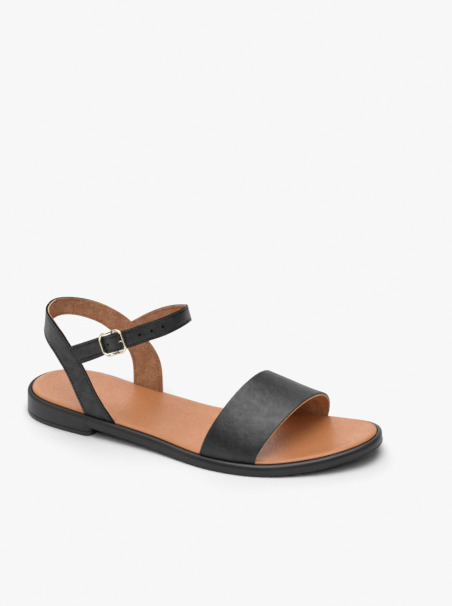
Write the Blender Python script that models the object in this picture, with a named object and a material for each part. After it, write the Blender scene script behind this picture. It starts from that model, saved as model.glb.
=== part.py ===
"""Flat ankle-strap sandal for the right foot, with a wide toe band and a buckled strap.

The toe points along +X, the inner side of the foot is +Y and the floor is Z = 0.
All sizes are in millimetres. X is counted from the back of the insole while the pieces
are made, and the whole shoe is then set down with its footprint centred on the origin.
"""

import math

import bmesh
import bpy
import numpy as np
from mathutils import Vector

MM = 0.001
GAP = 0.3
MERGE_DISTANCE = 0.02

# Outline of the insole seen from above
INSOLE_OUTLINE = [
    # place, x, y
    ("heel back", 1.7, 1.0),
    ("heel lateral curve", 9.0, -17.0),
    ("heel lateral", 35.0, -27.8),
    ("waist lateral", 75.0, -32.2),
    ("shank lateral", 114.0, -37.0),
    ("ball lateral", 150.0, -44.4),
    ("little toe", 185.0, -41.8),
    ("toe lateral", 213.5, -29.0),
    ("toe front lateral", 236.0, -11.4),
    ("toe tip", 247.4, 10.0),
    ("toe front medial", 241.6, 27.6),
    ("big toe", 211.0, 38.8),
    ("ball medial", 178.0, 38.8),
    ("shank medial", 137.0, 25.6),
    ("waist medial", 96.0, 24.4),
    ("heel medial front", 60.0, 27.6),
    ("heel medial", 30.0, 29.8),
    ("heel medial curve", 7.5, 19.0),
]
STATIONS_PER_SIDE = 46

# Height of the sole's underside above the floor, along the foot
UNDERSIDE = [
    # x, height
    (-4.0, 9.3),
    (20.0, 8.8),
    (60.0, 6.6),
    (100.0, 3.35),
    (148.0, 0.0),
    (184.0, 0.0),
    (215.0, 2.6),
    (252.0, 9.2),
]

# Width of the sole's edge outside the insole, as a share of the sizes below, along the foot
EDGE_WIDTH = [
    # x, share
    (0.0, 0.78),
    (60.0, 0.84),
    (140.0, 1.0),
    (250.0, 1.06),
]

# Side of the sole: distance out from the insole's edge, height above the underside
LIP_TOP = 7.6
TRAY_FLOOR = 4.6
SOLE_SIDE = [
    # place, out, up
    ("tray floor", 0.3, TRAY_FLOOR),
    ("lip inside", 0.3, LIP_TOP - 0.4),
    ("lip crest inside", 0.8, LIP_TOP),
    ("lip crest outside", 2.3, LIP_TOP),
    ("lip round", 2.9, LIP_TOP - 0.5),
    ("lip outside", 3.0, LIP_TOP - 1.5),
    ("groove top", 2.2, LIP_TOP - 1.9),
    ("groove bottom", 2.2, LIP_TOP - 2.3),
    ("band top", 3.5, LIP_TOP - 2.8),
    ("band bottom", 3.5, 1.3),
    ("foot of the band", 2.9, 0.4),
    ("underside edge", 2.0, 0.0),
]

# Insole: distance out from its own edge, height above the underside
INSOLE_CROWN = LIP_TOP + 1.6
INSOLE_SIDE = [
    # place, out, up
    ("bottom", -0.4, TRAY_FLOOR + GAP),
    ("lower side", 0.0, TRAY_FLOOR + GAP + 0.6),
    ("upper side", 0.0, INSOLE_CROWN - 1.3),
    ("rounding low", -0.4, INSOLE_CROWN - 0.55),
    ("rounding high", -1.2, INSOLE_CROWN - 0.12),
    ("crown", -2.4, INSOLE_CROWN),
]

# Low stacked heel under the sole
HEEL_BREAST_X = 60.0
HEEL_CORNER_RADIUS = 6.0
HEEL_PROUD_TOP = 3.1
HEEL_PROUD = 3.5
HEEL_TOP_UP = LIP_TOP - 1.2
HEEL_CORE_UP = 3.0
LIP_MIDDLE_OUT = 1.4
TOP_LIFT_THICKNESS = 3.3
TOP_LIFT_BEVEL = 0.5

# Straps
STRAP_WALL = 2.2
ROOT_INSET = STRAP_WALL / 2 + 0.15
ROOT_UP = TRAY_FLOOR + GAP
ROOT_TOP_UP = LIP_TOP + 1.6

# Toe band: its back, middle and front lines over the foot
TOE_BAND_LINES = [
    # line, lateral foot x, medial foot x, crown height, squareness, skew, forward bow
    ("back", 143.5, 165.0, 40.8, 0.91, 0.16, 10.0),
    ("middle", 163.0, 185.0, 33.4, 0.96, 0.155, 8.6),
    ("front", 182.3, 204.5, 27.8, 1.02, 0.15, 7.5),
]
TOE_BAND_ACROSS = 9
TOE_BAND_ROUND = 36

# Back strap, from the lateral side round the heel to the medial side
BACK_STRAP = [
    # place, rear edge x, y, z, front edge x, y, z
    ("lateral low", 48.0, -29.2, 26.5, 63.4, -29.8, 30.4),
    ("lateral middle", 41.6, -28.6, 39.6, 55.6, -29.0, 45.0),
    ("lateral ankle", 34.3, -27.2, 50.4, 46.0, -28.6, 60.2),
    ("lateral heel", 25.8, -23.4, 58.4, 34.0, -26.6, 74.0),
    ("lateral back", 18.3, -15.0, 62.2, 22.8, -18.2, 79.0),
    ("heel back", 13.8, 0.0, 64.2, 14.9, 0.0, 78.6),
    ("medial back", 16.6, 14.6, 63.9, 15.6, 13.6, 76.8),
    ("medial heel", 28.5, 24.9, 60.4, 30.0, 25.7, 73.3),
    ("medial ankle", 42.8, 28.6, 54.6, 47.0, 28.9, 68.2),
    ("medial bend", 54.0, 29.2, 46.4, 62.0, 29.2, 60.4),
    ("medial middle", 61.4, 29.0, 37.4, 74.6, 29.0, 48.4),
    ("medial low", 64.4, 28.4, 27.0, 83.4, 28.4, 35.6),
]
# Where the back strap's two feet enter the sole: x of the rear and front edge at its root and at the lip
BACK_STRAP_FEET = [
    # place, side, rear x in the slot, front x in the slot, rear x at the lip, front x at the lip
    ("lateral foot", -1, 54.9, 78.2, 52.8, 75.0),
    ("medial foot", 1, 66.0, 88.2, 65.9, 87.8),
]
BACK_STRAP_SECTIONS = 76

# Buckle: its middle, the run of the strap through it, and the lean of its upper side towards the leg
BUCKLE_MIDDLE = (76.3, -30.8, 72.4)
BUCKLE_RUN = (0.918, 0.05, 0.392)
BUCKLE_LEAN_DEG = 9.0
FRAME_HALF_LENGTH = 8.4
FRAME_HALF_HEIGHT = 7.7
FRAME_CORNER_RADIUS = 4.4
FRAME_WIRE_RADIUS = 0.85
FRAME_END_OUT = 1.5
BAR_OUT = -1.6
BAR_RADIUS = 0.8
WIRE_SIDES = 8

# Ankle strap: medial root, round the front of the ankle, then through the buckle to its tip
ANKLE_WALL = 1.8
ANKLE_WIDTH = 12.0
ANKLE_STRAP = [
    # place, lower edge x, y, z, upper edge x, y, z
    ("medial root", 63.4, 29.0, 46.8, 56.4, 29.0, 56.2),
    ("medial joint", 71.4, 28.9, 52.2, 64.6, 28.9, 62.0),
    ("medial side", 83.6, 28.0, 60.8, 77.6, 27.2, 71.0),
    ("medial front", 98.4, 24.6, 69.0, 93.4, 23.4, 79.8),
    ("front medial curve", 111.2, 14.6, 76.0, 107.2, 14.0, 86.8),
    ("front", 118.6, -4.4, 82.8, 116.0, -4.0, 93.8),
    ("front lateral curve", 110.2, -19.6, 79.4, 105.6, -18.6, 90.4),
    ("lateral front", 96.8, -26.8, 74.4, 92.2, -25.6, 85.4),
]
ANKLE_STRAP_IN_BUCKLE = [
    # place, along the run, up, out
    ("before the front bar", 12.0, 0.0, -0.95),
    ("under the front bar", 8.4, 0.0, -0.8),
    ("front rise", 4.2, 0.0, 0.55),
    ("over the middle bar", 0.0, 0.0, BAR_OUT + 3.55),
    ("back fall", -4.2, 0.0, 0.55),
    ("under the back bar", -8.4, 0.0, -0.8),
    ("on the chape", -16.0, -0.3, -0.9),
    ("end of the chape", -24.0, -0.6, -0.7),
]
TIP_UPPER_ALONG = -33.8
TIP_LOWER_ALONG = -28.8
TIP_UP = -1.0
TIP_OUT = -0.6
ANKLE_STRAP_SECTIONS = 84

# Punched holes along the ankle strap, counted from the middle bar towards the front
HOLES_ALONG = (-3.6, 20.0, 28.1, 36.3)
HOLE_RADIUS = 0.9
PRONG_HOLE_RADIUS = 1.0
HOLE_SIDES = 10

# Chape: the short strap that holds the buckle's middle bar
CHAPE_WALL = 1.7
CHAPE_WIDTH = 11.4
CHAPE_OUT = -3.15
CHAPE_ROOT_ALONG = -32.0
EYE_INNER_RADIUS = BAR_RADIUS + GAP
EYE_WALL = 1.2
EYE_SIDES = 20
PRONG_SLOT_WIDTH = 3.4

# Prong
PRONG_RADIUS = 0.65
PRONG_TIP_RADIUS = 0.5
PRONG_EYE_WIDTH = 2.6
PRONG_EYE_WALL = 0.9
PRONG_LENGTH = 10.6

# Finishes: base colour, roughness, metallic
FINISHES = {
    "black rubber": ((0.022, 0.022, 0.023), 0.55, 0.0),
    "black leather": ((0.018, 0.018, 0.019), 0.45, 0.0),
    "tan leather": ((0.52, 0.23, 0.11), 0.50, 0.0),
    "pale gold": ((0.83, 0.66, 0.38), 0.22, 1.0),
}


def steady_curve(rows):
    """A smooth function through (x, value) rows that never overshoots them."""
    x, value = (np.array(column, float) for column in zip(*rows))
    step, rise = np.diff(x), np.diff(value)
    chord = rise / step
    slope = np.zeros(len(x))
    for i in range(1, len(x) - 1):
        before, after = chord[i - 1], chord[i]
        if before * after > 0:
            slope[i] = 2 * before * after / (before + after)
    slope[0], slope[-1] = chord[0], chord[-1]

    def at(where):
        where = np.clip(where, x[0], x[-1])
        i = np.clip(np.searchsorted(x, where, side="right") - 1, 0, len(step) - 1)
        t = (where - x[i]) / step[i]
        bend = t * (1 - t)
        return (
            value[i] * (1 - t) + value[i + 1] * t
            + bend * step[i] * ((1 - t) * (slope[i] - chord[i]) + t * (chord[i] - slope[i + 1]))
        )

    return at


def smooth_curve(points, closed=False):
    """A cubic spline through points, as a function of the share of its length from 0 to 1."""
    points = np.array(points, float)
    knots = np.vstack([points, points[:1]]) if closed else points
    span = np.linalg.norm(np.diff(knots, axis=0), axis=1)
    place = np.concatenate([[0.0], np.cumsum(span)])
    count = len(points)
    matrix, right = np.zeros((count, count)), np.zeros_like(points)
    for i in range(count):
        if not closed and i in (0, count - 1):
            matrix[i, i] = 1.0
            continue
        before, after = span[i - 1], span[i]
        matrix[i, (i - 1) % count] += before
        matrix[i, i] += 2 * (before + after)
        matrix[i, (i + 1) % count] += after
        right[i] = 6 * ((knots[i + 1] - knots[i]) / after - (knots[i] - points[i - 1]) / before)
    bend = np.linalg.solve(matrix, right)
    if closed:
        bend = np.vstack([bend, bend[:1]])

    def at(share):
        where = np.clip(np.asarray(share, float), 0.0, 1.0) * place[-1]
        i = np.clip(np.searchsorted(place, where, side="right") - 1, 0, len(span) - 1)
        width = span[i][:, None]
        a = ((place[i + 1] - where) / span[i])[:, None]
        b = 1 - a
        return (
            a * knots[i] + b * knots[i + 1]
            + ((a**3 - a) * bend[i] + (b**3 - b) * bend[i + 1]) * width**2 / 6
        )

    return at


def unit(vector):
    vector = np.asarray(vector, float)
    return vector / np.linalg.norm(vector)


def sole_outline():
    """Points and outward normals of the insole's outline, from the heel back round by the lateral side."""
    curve = smooth_curve([row[1:] for row in INSOLE_OUTLINE], closed=True)
    dense = curve(np.linspace(0, 1, 1441))
    heel, tip = int(dense[:-1, 0].argmin()), int(dense[:-1, 0].argmax())
    dense = np.roll(dense[:-1], -heel, axis=0)
    tip = (tip - heel) % len(dense)
    sides = (dense[: tip + 1], np.vstack([dense[tip:], dense[:1]]))
    loop = []
    for side in sides:
        walked = np.concatenate([[0.0], np.cumsum(np.linalg.norm(np.diff(side, axis=0), axis=1))])
        stops = np.linspace(0, walked[-1], STATIONS_PER_SIDE + 1)[:-1]
        loop.append(np.stack([np.interp(stops, walked, side[:, axis]) for axis in (0, 1)], axis=1))
    loop = np.vstack(loop)
    along = np.roll(loop, -1, axis=0) - np.roll(loop, 1, axis=0)
    normal = np.stack([along[:, 1], -along[:, 0]], axis=1)
    outward = normal / np.linalg.norm(normal, axis=1)[:, None]
    if ((loop - loop.mean(axis=0)) * outward).sum() < 0:
        outward = -outward
    return loop, outward


OUTLINE, OUTWARD = sole_outline()
underside = steady_curve(UNDERSIDE)
edge_width = steady_curve(EDGE_WIDTH)


def edge_y(x, side, inset):
    """Y of the insole's edge at x, set in by inset: side -1 is lateral and 1 is medial."""
    inner = OUTLINE - OUTWARD * inset
    half = inner[: STATIONS_PER_SIDE + 1]
    if side > 0:
        half = np.vstack([inner[STATIONS_PER_SIDE:], inner[:1]])[::-1]
    return float(np.interp(x, half[:, 0], half[:, 1]))


def sole_ring(out, up):
    """One closed ring round the sole, out from the insole's edge and up from the underside."""
    if out > GAP:
        out = GAP + (out - GAP) * edge_width(OUTLINE[:, :1])
    flat = OUTLINE + OUTWARD * out
    return np.column_stack([flat, underside(flat[:, 0]) + up])


def new_material(finish):
    if finish in bpy.data.materials:
        return bpy.data.materials[finish]
    colour, roughness, metallic = FINISHES[finish]
    material = bpy.data.materials.new(finish)
    material.use_nodes = True
    shader = material.node_tree.nodes["Principled BSDF"]
    shader.inputs["Base Color"].default_value = (*colour, 1.0)
    shader.inputs["Roughness"].default_value = roughness
    shader.inputs["Metallic"].default_value = metallic
    return material


def new_solid(name, points, faces, finish):
    """A mesh object in metres whose faces all point out."""
    mesh = bpy.data.meshes.new(name)
    build = bmesh.new()
    corners = [build.verts.new(Vector(point) * MM) for point in points]
    for face in faces:
        build.faces.new([corners[i] for i in face])
    bmesh.ops.recalc_face_normals(build, faces=build.faces)
    if build.calc_volume(signed=True) < 0:
        bmesh.ops.reverse_faces(build, faces=build.faces)
    build.to_mesh(mesh)
    build.free()
    mesh.materials.append(new_material(finish))
    solid = bpy.data.objects.new(name, mesh)
    bpy.context.scene.collection.objects.link(solid)
    return solid


def ladder_cap(count, first):
    """Faces across a closed ring, rung by rung from its first point."""
    faces = []
    low, high = 0, count
    while high - low > 2:
        rung = [first + low, first + low + 1, first + (high - 1) % count, first + high % count]
        faces.append(rung if low else [first, first + 1, first + count - 1])
        low, high = low + 1, high - 1
    if high - low == 2:
        faces.append([first + low, first + low + 1, first + high % count])
    return faces


def loft(name, rings, finish):
    """A solid through closed rings with the same number of points, closed across both ends."""
    count = len(rings[0])
    faces = []
    for level in range(len(rings) - 1):
        a, b = level * count, (level + 1) * count
        faces += [[a + i, a + (i + 1) % count, b + (i + 1) % count, b + i] for i in range(count)]
    faces += ladder_cap(count, 0) + ladder_cap(count, (len(rings) - 1) * count)
    return new_solid(name, np.vstack(rings), faces, finish)


def wall(name, outer, inner, finish):
    """A solid wall between two grids of points, rows by columns."""
    rows, columns = outer.shape[:2]
    points = np.vstack([outer.reshape(-1, 3), inner.reshape(-1, 3)])
    back = rows * columns
    faces = []
    for r in range(rows - 1):
        for c in range(columns - 1):
            a, b = r * columns + c, (r + 1) * columns + c
            faces.append([a, a + 1, b + 1, b])
            faces.append([back + a, back + b, back + b + 1, back + a + 1])
    rim = [c for c in range(columns)]
    rim += [r * columns + columns - 1 for r in range(1, rows)]
    rim += [(rows - 1) * columns + c for c in range(columns - 2, -1, -1)]
    rim += [r * columns for r in range(rows - 2, 0, -1)]
    for a, b in zip(rim, rim[1:] + rim[:1]):
        faces.append([b, a, back + a, back + b])
    return new_solid(name, points, faces, finish)


def surface_normals(grid):
    """Unit normals of a grid of points."""
    down = np.gradient(grid, axis=0)
    across = np.gradient(grid, axis=1)
    normal = np.cross(down, across)
    return normal / np.linalg.norm(normal, axis=2)[:, :, None]


def thicken(name, grid, thickness, finish):
    """A wall of even thickness with the grid in its middle."""
    half = surface_normals(grid) * thickness / 2
    return wall(name, grid + half, grid - half, finish)


def strap_grid(rows, sections, spare=0.0):
    """Points across a strap from rows of its two edges, made wider by spare at each edge."""
    one, two = (smooth_curve([row[i : i + 3] for row in rows]) for i in (0, 3))
    share = np.linspace(0, 1, sections)
    a, b = one(share), two(share)
    across = (b - a) / np.linalg.norm(b - a, axis=1)[:, None]
    a, b = a - across * spare, b + across * spare
    return np.stack([a, (a + b) / 2, b], axis=1)


def join(body, *others):
    """Boolean union, worked out in place."""
    for other in others:
        apply_boolean(body, other, "UNION")
        bpy.data.objects.remove(other)


def cut(body, *cutters):
    """Boolean difference, worked out in place."""
    for cutter in cutters:
        apply_boolean(body, cutter, "DIFFERENCE")
        bpy.data.objects.remove(cutter)


def apply_boolean(body, other, operation):
    modifier = body.modifiers.new(operation.title(), "BOOLEAN")
    modifier.operation = operation
    modifier.solver = "EXACT"
    modifier.object = other
    graph = bpy.context.evaluated_depsgraph_get()
    worked = bpy.data.meshes.new_from_object(body.evaluated_get(graph))
    body.modifiers.remove(modifier)
    tidy = bmesh.new()
    tidy.from_mesh(worked)
    bmesh.ops.remove_doubles(tidy, verts=tidy.verts, dist=MERGE_DISTANCE * MM)
    bmesh.ops.dissolve_degenerate(tidy, edges=tidy.edges, dist=MERGE_DISTANCE * MM)
    tidy.to_mesh(worked)
    tidy.free()
    old = body.data
    body.data = worked
    worked.name = body.name
    bpy.data.meshes.remove(old)


def heel_ring(out, breast_x=HEEL_BREAST_X):
    """Flat ring round the heel, closed across its breast, and each point's turn round the breast corner."""
    flat = OUTLINE + OUTWARD * out
    corner_x = breast_x - HEEL_CORNER_RADIUS
    last = max(i for i in range(STATIONS_PER_SIDE) if flat[i, 0] < HEEL_BREAST_X - HEEL_CORNER_RADIUS - 6)
    sides, rounds = [], []
    for sign, side in ((-1, flat[: last + 1]), (1, np.vstack([flat[:1], flat[: -last - 1 : -1]]))):
        side_y = edge_y(corner_x, sign, -out)
        turns = [math.pi / 2 * k / 5 for k in range(6)]
        corner = [
            (
                corner_x + HEEL_CORNER_RADIUS * math.sin(turn),
                side_y - sign * HEEL_CORNER_RADIUS * (1 - math.cos(turn)),
            )
            for turn in turns
        ]
        sides.append(np.vstack([side, corner]))
        rounds.append(np.concatenate([np.zeros(len(side)), np.sin(turns)]))
    return np.vstack([sides[0], sides[1][:0:-1]]), np.concatenate([rounds[0], rounds[1][:0:-1]])


def level_heel_ring(out, height):
    flat, _ = heel_ring(out)
    return np.column_stack([flat, np.full(len(flat), height)])


def heel_ring_in_sole(out, side_up, breast_up, breast_x):
    """A heel ring that follows the sole, side_up above its underside and breast_up across the breast."""
    flat, turned = heel_ring(out, breast_x)
    up = side_up + (breast_up - side_up) * turned
    return np.column_stack([flat, underside(flat[:, 0]) + up])


def make_outsole():
    rings = [sole_ring(out, up) for _, out, up in SOLE_SIDE]
    outsole = loft("outsole", rings, "black rubber")
    heel = loft(
        "heel block",
        [
            level_heel_ring(HEEL_PROUD, TOP_LIFT_THICKNESS + GAP),
            heel_ring_in_sole(HEEL_PROUD_TOP, HEEL_TOP_UP, HEEL_CORE_UP, HEEL_BREAST_X),
            heel_ring_in_sole(LIP_MIDDLE_OUT, HEEL_TOP_UP, HEEL_CORE_UP, HEEL_BREAST_X - 1.5),
            heel_ring_in_sole(LIP_MIDDLE_OUT - 0.6, HEEL_CORE_UP, HEEL_CORE_UP - 0.5, HEEL_BREAST_X - 3.0),
        ],
        "black rubber",
    )
    join(outsole, heel)
    return outsole


def make_heel_top_lift():
    heights = (
        (HEEL_PROUD - TOP_LIFT_BEVEL, 0.0),
        (HEEL_PROUD, TOP_LIFT_BEVEL),
        (HEEL_PROUD, TOP_LIFT_THICKNESS),
    )
    return loft("heel_top_lift", [level_heel_ring(out, z) for out, z in heights], "black rubber")


def make_insole(root_cutters):
    rings = [sole_ring(out, up) for _, out, up in INSOLE_SIDE]
    insole = loft("insole", rings, "tan leather")
    cut(insole, *root_cutters)
    return insole


def toe_band_line(line, turns):
    """One line over the foot from the lateral slot to the medial slot."""
    lateral_x, medial_x, crown, square, skew, bow = line
    share = (1 - np.cos(turns)) / 2
    arch = np.sin(turns)
    ends = []
    for x, side in ((lateral_x, -1), (medial_x, 1)):
        ends.append(np.array([x, edge_y(x, side, ROOT_INSET), underside(x) + ROOT_TOP_UP]))
    points = ends[0] + (ends[1] - ends[0]) * share[:, None]
    points[:, 0] += bow * arch
    points[:, 2] += crown * arch**square * (1 - skew * np.cos(turns))
    roots = [end - (0, 0, ROOT_TOP_UP - ROOT_UP) for end in ends]
    return np.vstack([roots[:1], points, roots[1:]])


def toe_band_grid(spare=0.0, depth=0.0):
    """The toe band's middle surface: rows over the foot, columns from its back line to its front line."""
    turns = np.linspace(0, math.pi, TOE_BAND_ROUND + 1)
    turns[0], turns[-1] = 0.0, math.pi
    columns = list(zip(*TOE_BAND_LINES))[1:]
    spare_share = spare / (TOE_BAND_LINES[-1][1] - TOE_BAND_LINES[0][1])
    shares = np.linspace(-spare_share, 1 + spare_share, TOE_BAND_ACROSS)
    lines = []
    for share in shares:
        line = [
            a * (1 - share) * (1 - 2 * share) + 4 * b * share * (1 - share) + c * share * (2 * share - 1)
            for a, b, c in columns
        ]
        lines.append(toe_band_line(line, turns))
    grid = np.stack(lines, axis=1)
    grid[[0, -1], :, 2] -= depth
    return grid


def make_toe_strap():
    return thicken("toe_strap", toe_band_grid(), STRAP_WALL, "black leather")


def foot_rows(place):
    """A back strap foot's two rows: in its slot, and where it passes the insole's edge."""
    _, side, rear_slot, front_slot, rear_lip, front_lip = next(r for r in BACK_STRAP_FEET if r[0] == place)
    rows = []
    for rear, front, up in ((rear_slot, front_slot, ROOT_UP), (rear_lip, front_lip, ROOT_TOP_UP)):
        row = []
        for x in (rear, front):
            row += [x, edge_y(x, side, ROOT_INSET), float(underside(x)) + up]
        rows.append(row)
    return rows


def back_strap_rows():
    lateral, medial = foot_rows("lateral foot"), foot_rows("medial foot")
    return lateral + [list(row[1:]) for row in BACK_STRAP] + medial[::-1]


def root_cutters():
    """Solids a gap larger all round than the strap ends, for the slots along the insole's edge."""
    cutters = []
    extra = 2 * GAP
    for place in ("lateral foot", "medial foot"):
        slot, lip = (np.array(row) for row in foot_rows(place))
        below, above = slot + (slot - lip) * 0.5, lip + (lip - slot) * 0.5
        grid = strap_grid([below, slot, lip, above], 5, spare=GAP)
        cutters.append(thicken("slot", grid, STRAP_WALL + extra, "tan leather"))
    band = toe_band_grid(spare=GAP, depth=2.0)
    for rows in (band[:6], band[-6:]):
        cutters.append(thicken("slot", rows, STRAP_WALL + extra, "tan leather"))
    return cutters


def buckle_axes():
    """Run, up and out directions of the buckle."""
    run = unit(BUCKLE_RUN)
    upright = unit(np.array([0, 0, 1]) - run * run[2])
    level_out = np.cross(run, upright)
    lean = math.radians(BUCKLE_LEAN_DEG)
    up = unit(upright * math.cos(lean) - level_out * math.sin(lean))
    return run, up, np.cross(run, up)


RUN, UP, OUT = buckle_axes()


def at_buckle(along, up, out):
    """A point given by its distances along, up and out from the buckle's middle."""
    return np.array(BUCKLE_MIDDLE) + RUN * along + UP * up + OUT * out


def ankle_strap_rows():
    half = ANKLE_WIDTH / 2
    rows = [list(row[1:]) for row in ANKLE_STRAP]
    for _, along, up, out in ANKLE_STRAP_IN_BUCKLE:
        rows.append([*at_buckle(along, up - half, out), *at_buckle(along, up + half, out)])
    lower_tip = at_buckle(TIP_LOWER_ALONG, TIP_UP - half, TIP_OUT)
    upper_tip = at_buckle(TIP_UPPER_ALONG, TIP_UP + half, TIP_OUT)
    return rows + [[*lower_tip, *upper_tip]]


def tube(name, path, radii, sides, finish, closed=False):
    """A round bar along points, with its radius given for each."""
    path = np.array(path, float)
    if closed:
        along = np.roll(path, -1, axis=0) - np.roll(path, 1, axis=0)
    else:
        along = np.gradient(path, axis=0)
    rings = []
    for point, direction, radius in zip(path, along, radii):
        direction = unit(direction)
        first = unit(np.cross(direction, OUT if abs(direction @ OUT) < 0.9 else UP))
        second = np.cross(direction, first)
        turns = np.arange(sides) * 2 * math.pi / sides
        rings.append(point + radius * (np.outer(np.cos(turns), first) + np.outer(np.sin(turns), second)))
    if not closed:
        return loft(name, rings, finish)
    count, faces = len(rings), []
    for level in range(count):
        a, b = level * sides, (level + 1) % count * sides
        faces += [[a + i, a + (i + 1) % sides, b + (i + 1) % sides, b + i] for i in range(sides)]
    return new_solid(name, np.vstack(rings), faces, finish)


def frame_path():
    """Rounded rectangle of the buckle frame, dipping towards the leg at its middle."""
    points = []
    length, height, radius = FRAME_HALF_LENGTH, FRAME_HALF_HEIGHT, FRAME_CORNER_RADIUS
    corners = ((1, 1, 0), (-1, 1, 90), (-1, -1, 180), (1, -1, 270))
    for sx, sy, start in corners:
        for k in range(6):
            turn = math.radians(start + 90 * k / 5)
            points.append(
                (
                    sx * (length - radius) + radius * math.cos(turn),
                    sy * (height - radius) + radius * math.sin(turn),
                )
            )
        if start in (0, 180):
            points += [(sx * (length - radius) * f, sy * height) for f in (0.7, 0.4, 0.0, -0.4, -0.7)]
    path = []
    for along, up in points:
        share = min(abs(along) / (length - radius), 1.0)
        rise = share * share * (3 - 2 * share)
        path.append(at_buckle(along, up, BAR_OUT + (FRAME_END_OUT - BAR_OUT) * rise))
    return path


def make_buckle_frame():
    path = frame_path()
    frame = tube("buckle_frame", path, [FRAME_WIRE_RADIUS] * len(path), WIRE_SIDES, "pale gold", closed=True)
    join(frame, bar_cylinder("middle bar", BAR_RADIUS, FRAME_HALF_HEIGHT, "pale gold"))
    return frame


def prong_direction():
    """Unit vector from the middle bar to where the prong rests on the front bar."""
    rest_out = FRAME_END_OUT + FRAME_WIRE_RADIUS + GAP + PRONG_RADIUS + 0.1
    return unit(RUN * FRAME_HALF_LENGTH + OUT * (rest_out - BAR_OUT))


def bar_cylinder(name, radius, reach, finish):
    """A round solid on the middle bar's axis, as far as reach up and down."""
    ends = [at_buckle(0, -reach, BAR_OUT), at_buckle(0, reach, BAR_OUT)]
    return tube(name, ends, [radius] * 2, EYE_SIDES, finish)


def make_buckle_prong():
    heading = prong_direction()
    start = at_buckle(0, 0, BAR_OUT)
    inner, outer = BAR_RADIUS + GAP, BAR_RADIUS + GAP + PRONG_EYE_WALL
    lengths = (outer - PRONG_EYE_WALL / 2, PRONG_LENGTH * 0.6, PRONG_LENGTH * 0.92, PRONG_LENGTH)
    radii = (PRONG_RADIUS, PRONG_RADIUS, PRONG_TIP_RADIUS, PRONG_TIP_RADIUS * 0.5)
    prong = tube("buckle_prong", [start + heading * d for d in lengths], radii, WIRE_SIDES, "pale gold")
    join(prong, bar_cylinder("prong eye", outer, PRONG_EYE_WIDTH / 2, "pale gold"))
    cut(prong, bar_cylinder("bore", inner, PRONG_EYE_WIDTH, "pale gold"))
    return prong


def block(name, low, high, finish):
    """A box in the buckle's own directions."""
    spans = list(zip(low, high))
    points = [at_buckle(along, up, out) for along in spans[0] for up in spans[1] for out in spans[2]]
    faces = [[0, 1, 3, 2], [4, 6, 7, 5], [0, 4, 5, 1], [2, 3, 7, 6], [0, 2, 6, 4], [1, 5, 7, 3]]
    return new_solid(name, np.array(points), faces, finish)


def make_chape():
    """Short strap from the back strap to the eye round the middle bar, with the prong's slot cut in it."""
    half = CHAPE_WIDTH / 2
    run = [
        # along, up, out
        (CHAPE_ROOT_ALONG, -3.0, CHAPE_OUT),
        (-20.0, -2.2, CHAPE_OUT),
        (-FRAME_HALF_LENGTH - 1, -1.0, CHAPE_OUT),
        (-4.2, -0.2, CHAPE_OUT + 0.55),
        (-1.5, 0.0, BAR_OUT - 0.45),
    ]
    rows = [[*at_buckle(a, u - half, o), *at_buckle(a, u + half, o)] for a, u, o in run]
    chape = thicken("chape", strap_grid(rows, 14), CHAPE_WALL, "black leather")
    outer = EYE_INNER_RADIUS + EYE_WALL
    join(chape, bar_cylinder("eye", outer, half - 0.15, "black leather"))
    bore = bar_cylinder("bore", EYE_INNER_RADIUS, half + 1, "black leather")
    slot_half = PRONG_SLOT_WIDTH / 2
    slot = block(
        "slot", (-outer - 1.4, -slot_half, BAR_OUT - 4), (outer + 1, slot_half, BAR_OUT + 4), "black leather"
    )
    cut(chape, bore, slot)
    return chape


def hole_cutters(grid):
    """Round cutters through the ankle strap: the spare holes, and the one that the prong fills."""
    middle, normals = grid[:, 1], surface_normals(grid)[:, 1]
    walked = np.concatenate([[0.0], np.cumsum(np.linalg.norm(np.diff(middle, axis=0), axis=1))])
    bar = int(np.argmin(np.linalg.norm(middle - at_buckle(0, 0, BAR_OUT + 3.55), axis=1)))
    cutters = []
    for along in HOLES_ALONG:
        i = int(np.argmin(np.abs(walked - (walked[bar] - along))))
        ends = [middle[i] - normals[i] * 3, middle[i] + normals[i] * 3]
        cutters.append(tube("hole", ends, [HOLE_RADIUS] * 2, HOLE_SIDES, "black leather"))
    start, heading = at_buckle(0, 0, BAR_OUT), prong_direction()
    ends = [start + heading * d for d in (1.6, PRONG_LENGTH)]
    cutters.append(tube("hole", ends, [PRONG_HOLE_RADIUS] * 2, HOLE_SIDES, "black leather"))
    return cutters


def make_ankle_upper():
    """Back strap, ankle strap and chape as one solid, joined where they are sewn."""
    grid = strap_grid(ankle_strap_rows(), ANKLE_STRAP_SECTIONS)
    ankle = thicken("ankle strap", grid, ANKLE_WALL, "black leather")
    cut(ankle, *hole_cutters(grid))
    back_grid = strap_grid(back_strap_rows(), BACK_STRAP_SECTIONS)
    upper = thicken("back_and_ankle_strap", back_grid, STRAP_WALL, "black leather")
    join(upper, ankle, make_chape())
    return upper


def finish_shading(solid):
    solid.data.shade_smooth()
    solid.data.set_sharp_from_angle(angle=math.radians(35))


def main():
    for old in list(bpy.data.objects):
        bpy.data.objects.remove(old)
    solids = [
        make_outsole(),
        make_heel_top_lift(),
        make_insole(root_cutters()),
        make_toe_strap(),
        make_ankle_upper(),
        make_buckle_frame(),
        make_buckle_prong(),
    ]
    sole_rings = [sole_ring(out, up)[:, :2] for _, out, up in SOLE_SIDE]
    footprint = np.vstack(sole_rings + [heel_ring(HEEL_PROUD)[0]])
    middle = (footprint.min(axis=0) + footprint.max(axis=0)) / 2
    stand = bpy.data.objects.new("sandal", None)
    bpy.context.scene.collection.objects.link(stand)
    stand.location = (-middle[0] * MM, -middle[1] * MM, 0.0)
    for solid in solids:
        finish_shading(solid)
        solid.parent = stand


main()
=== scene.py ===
import math
from contextlib import contextmanager
from functools import partial

import bpy
import numpy as np
from mathutils import Matrix, Vector


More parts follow.
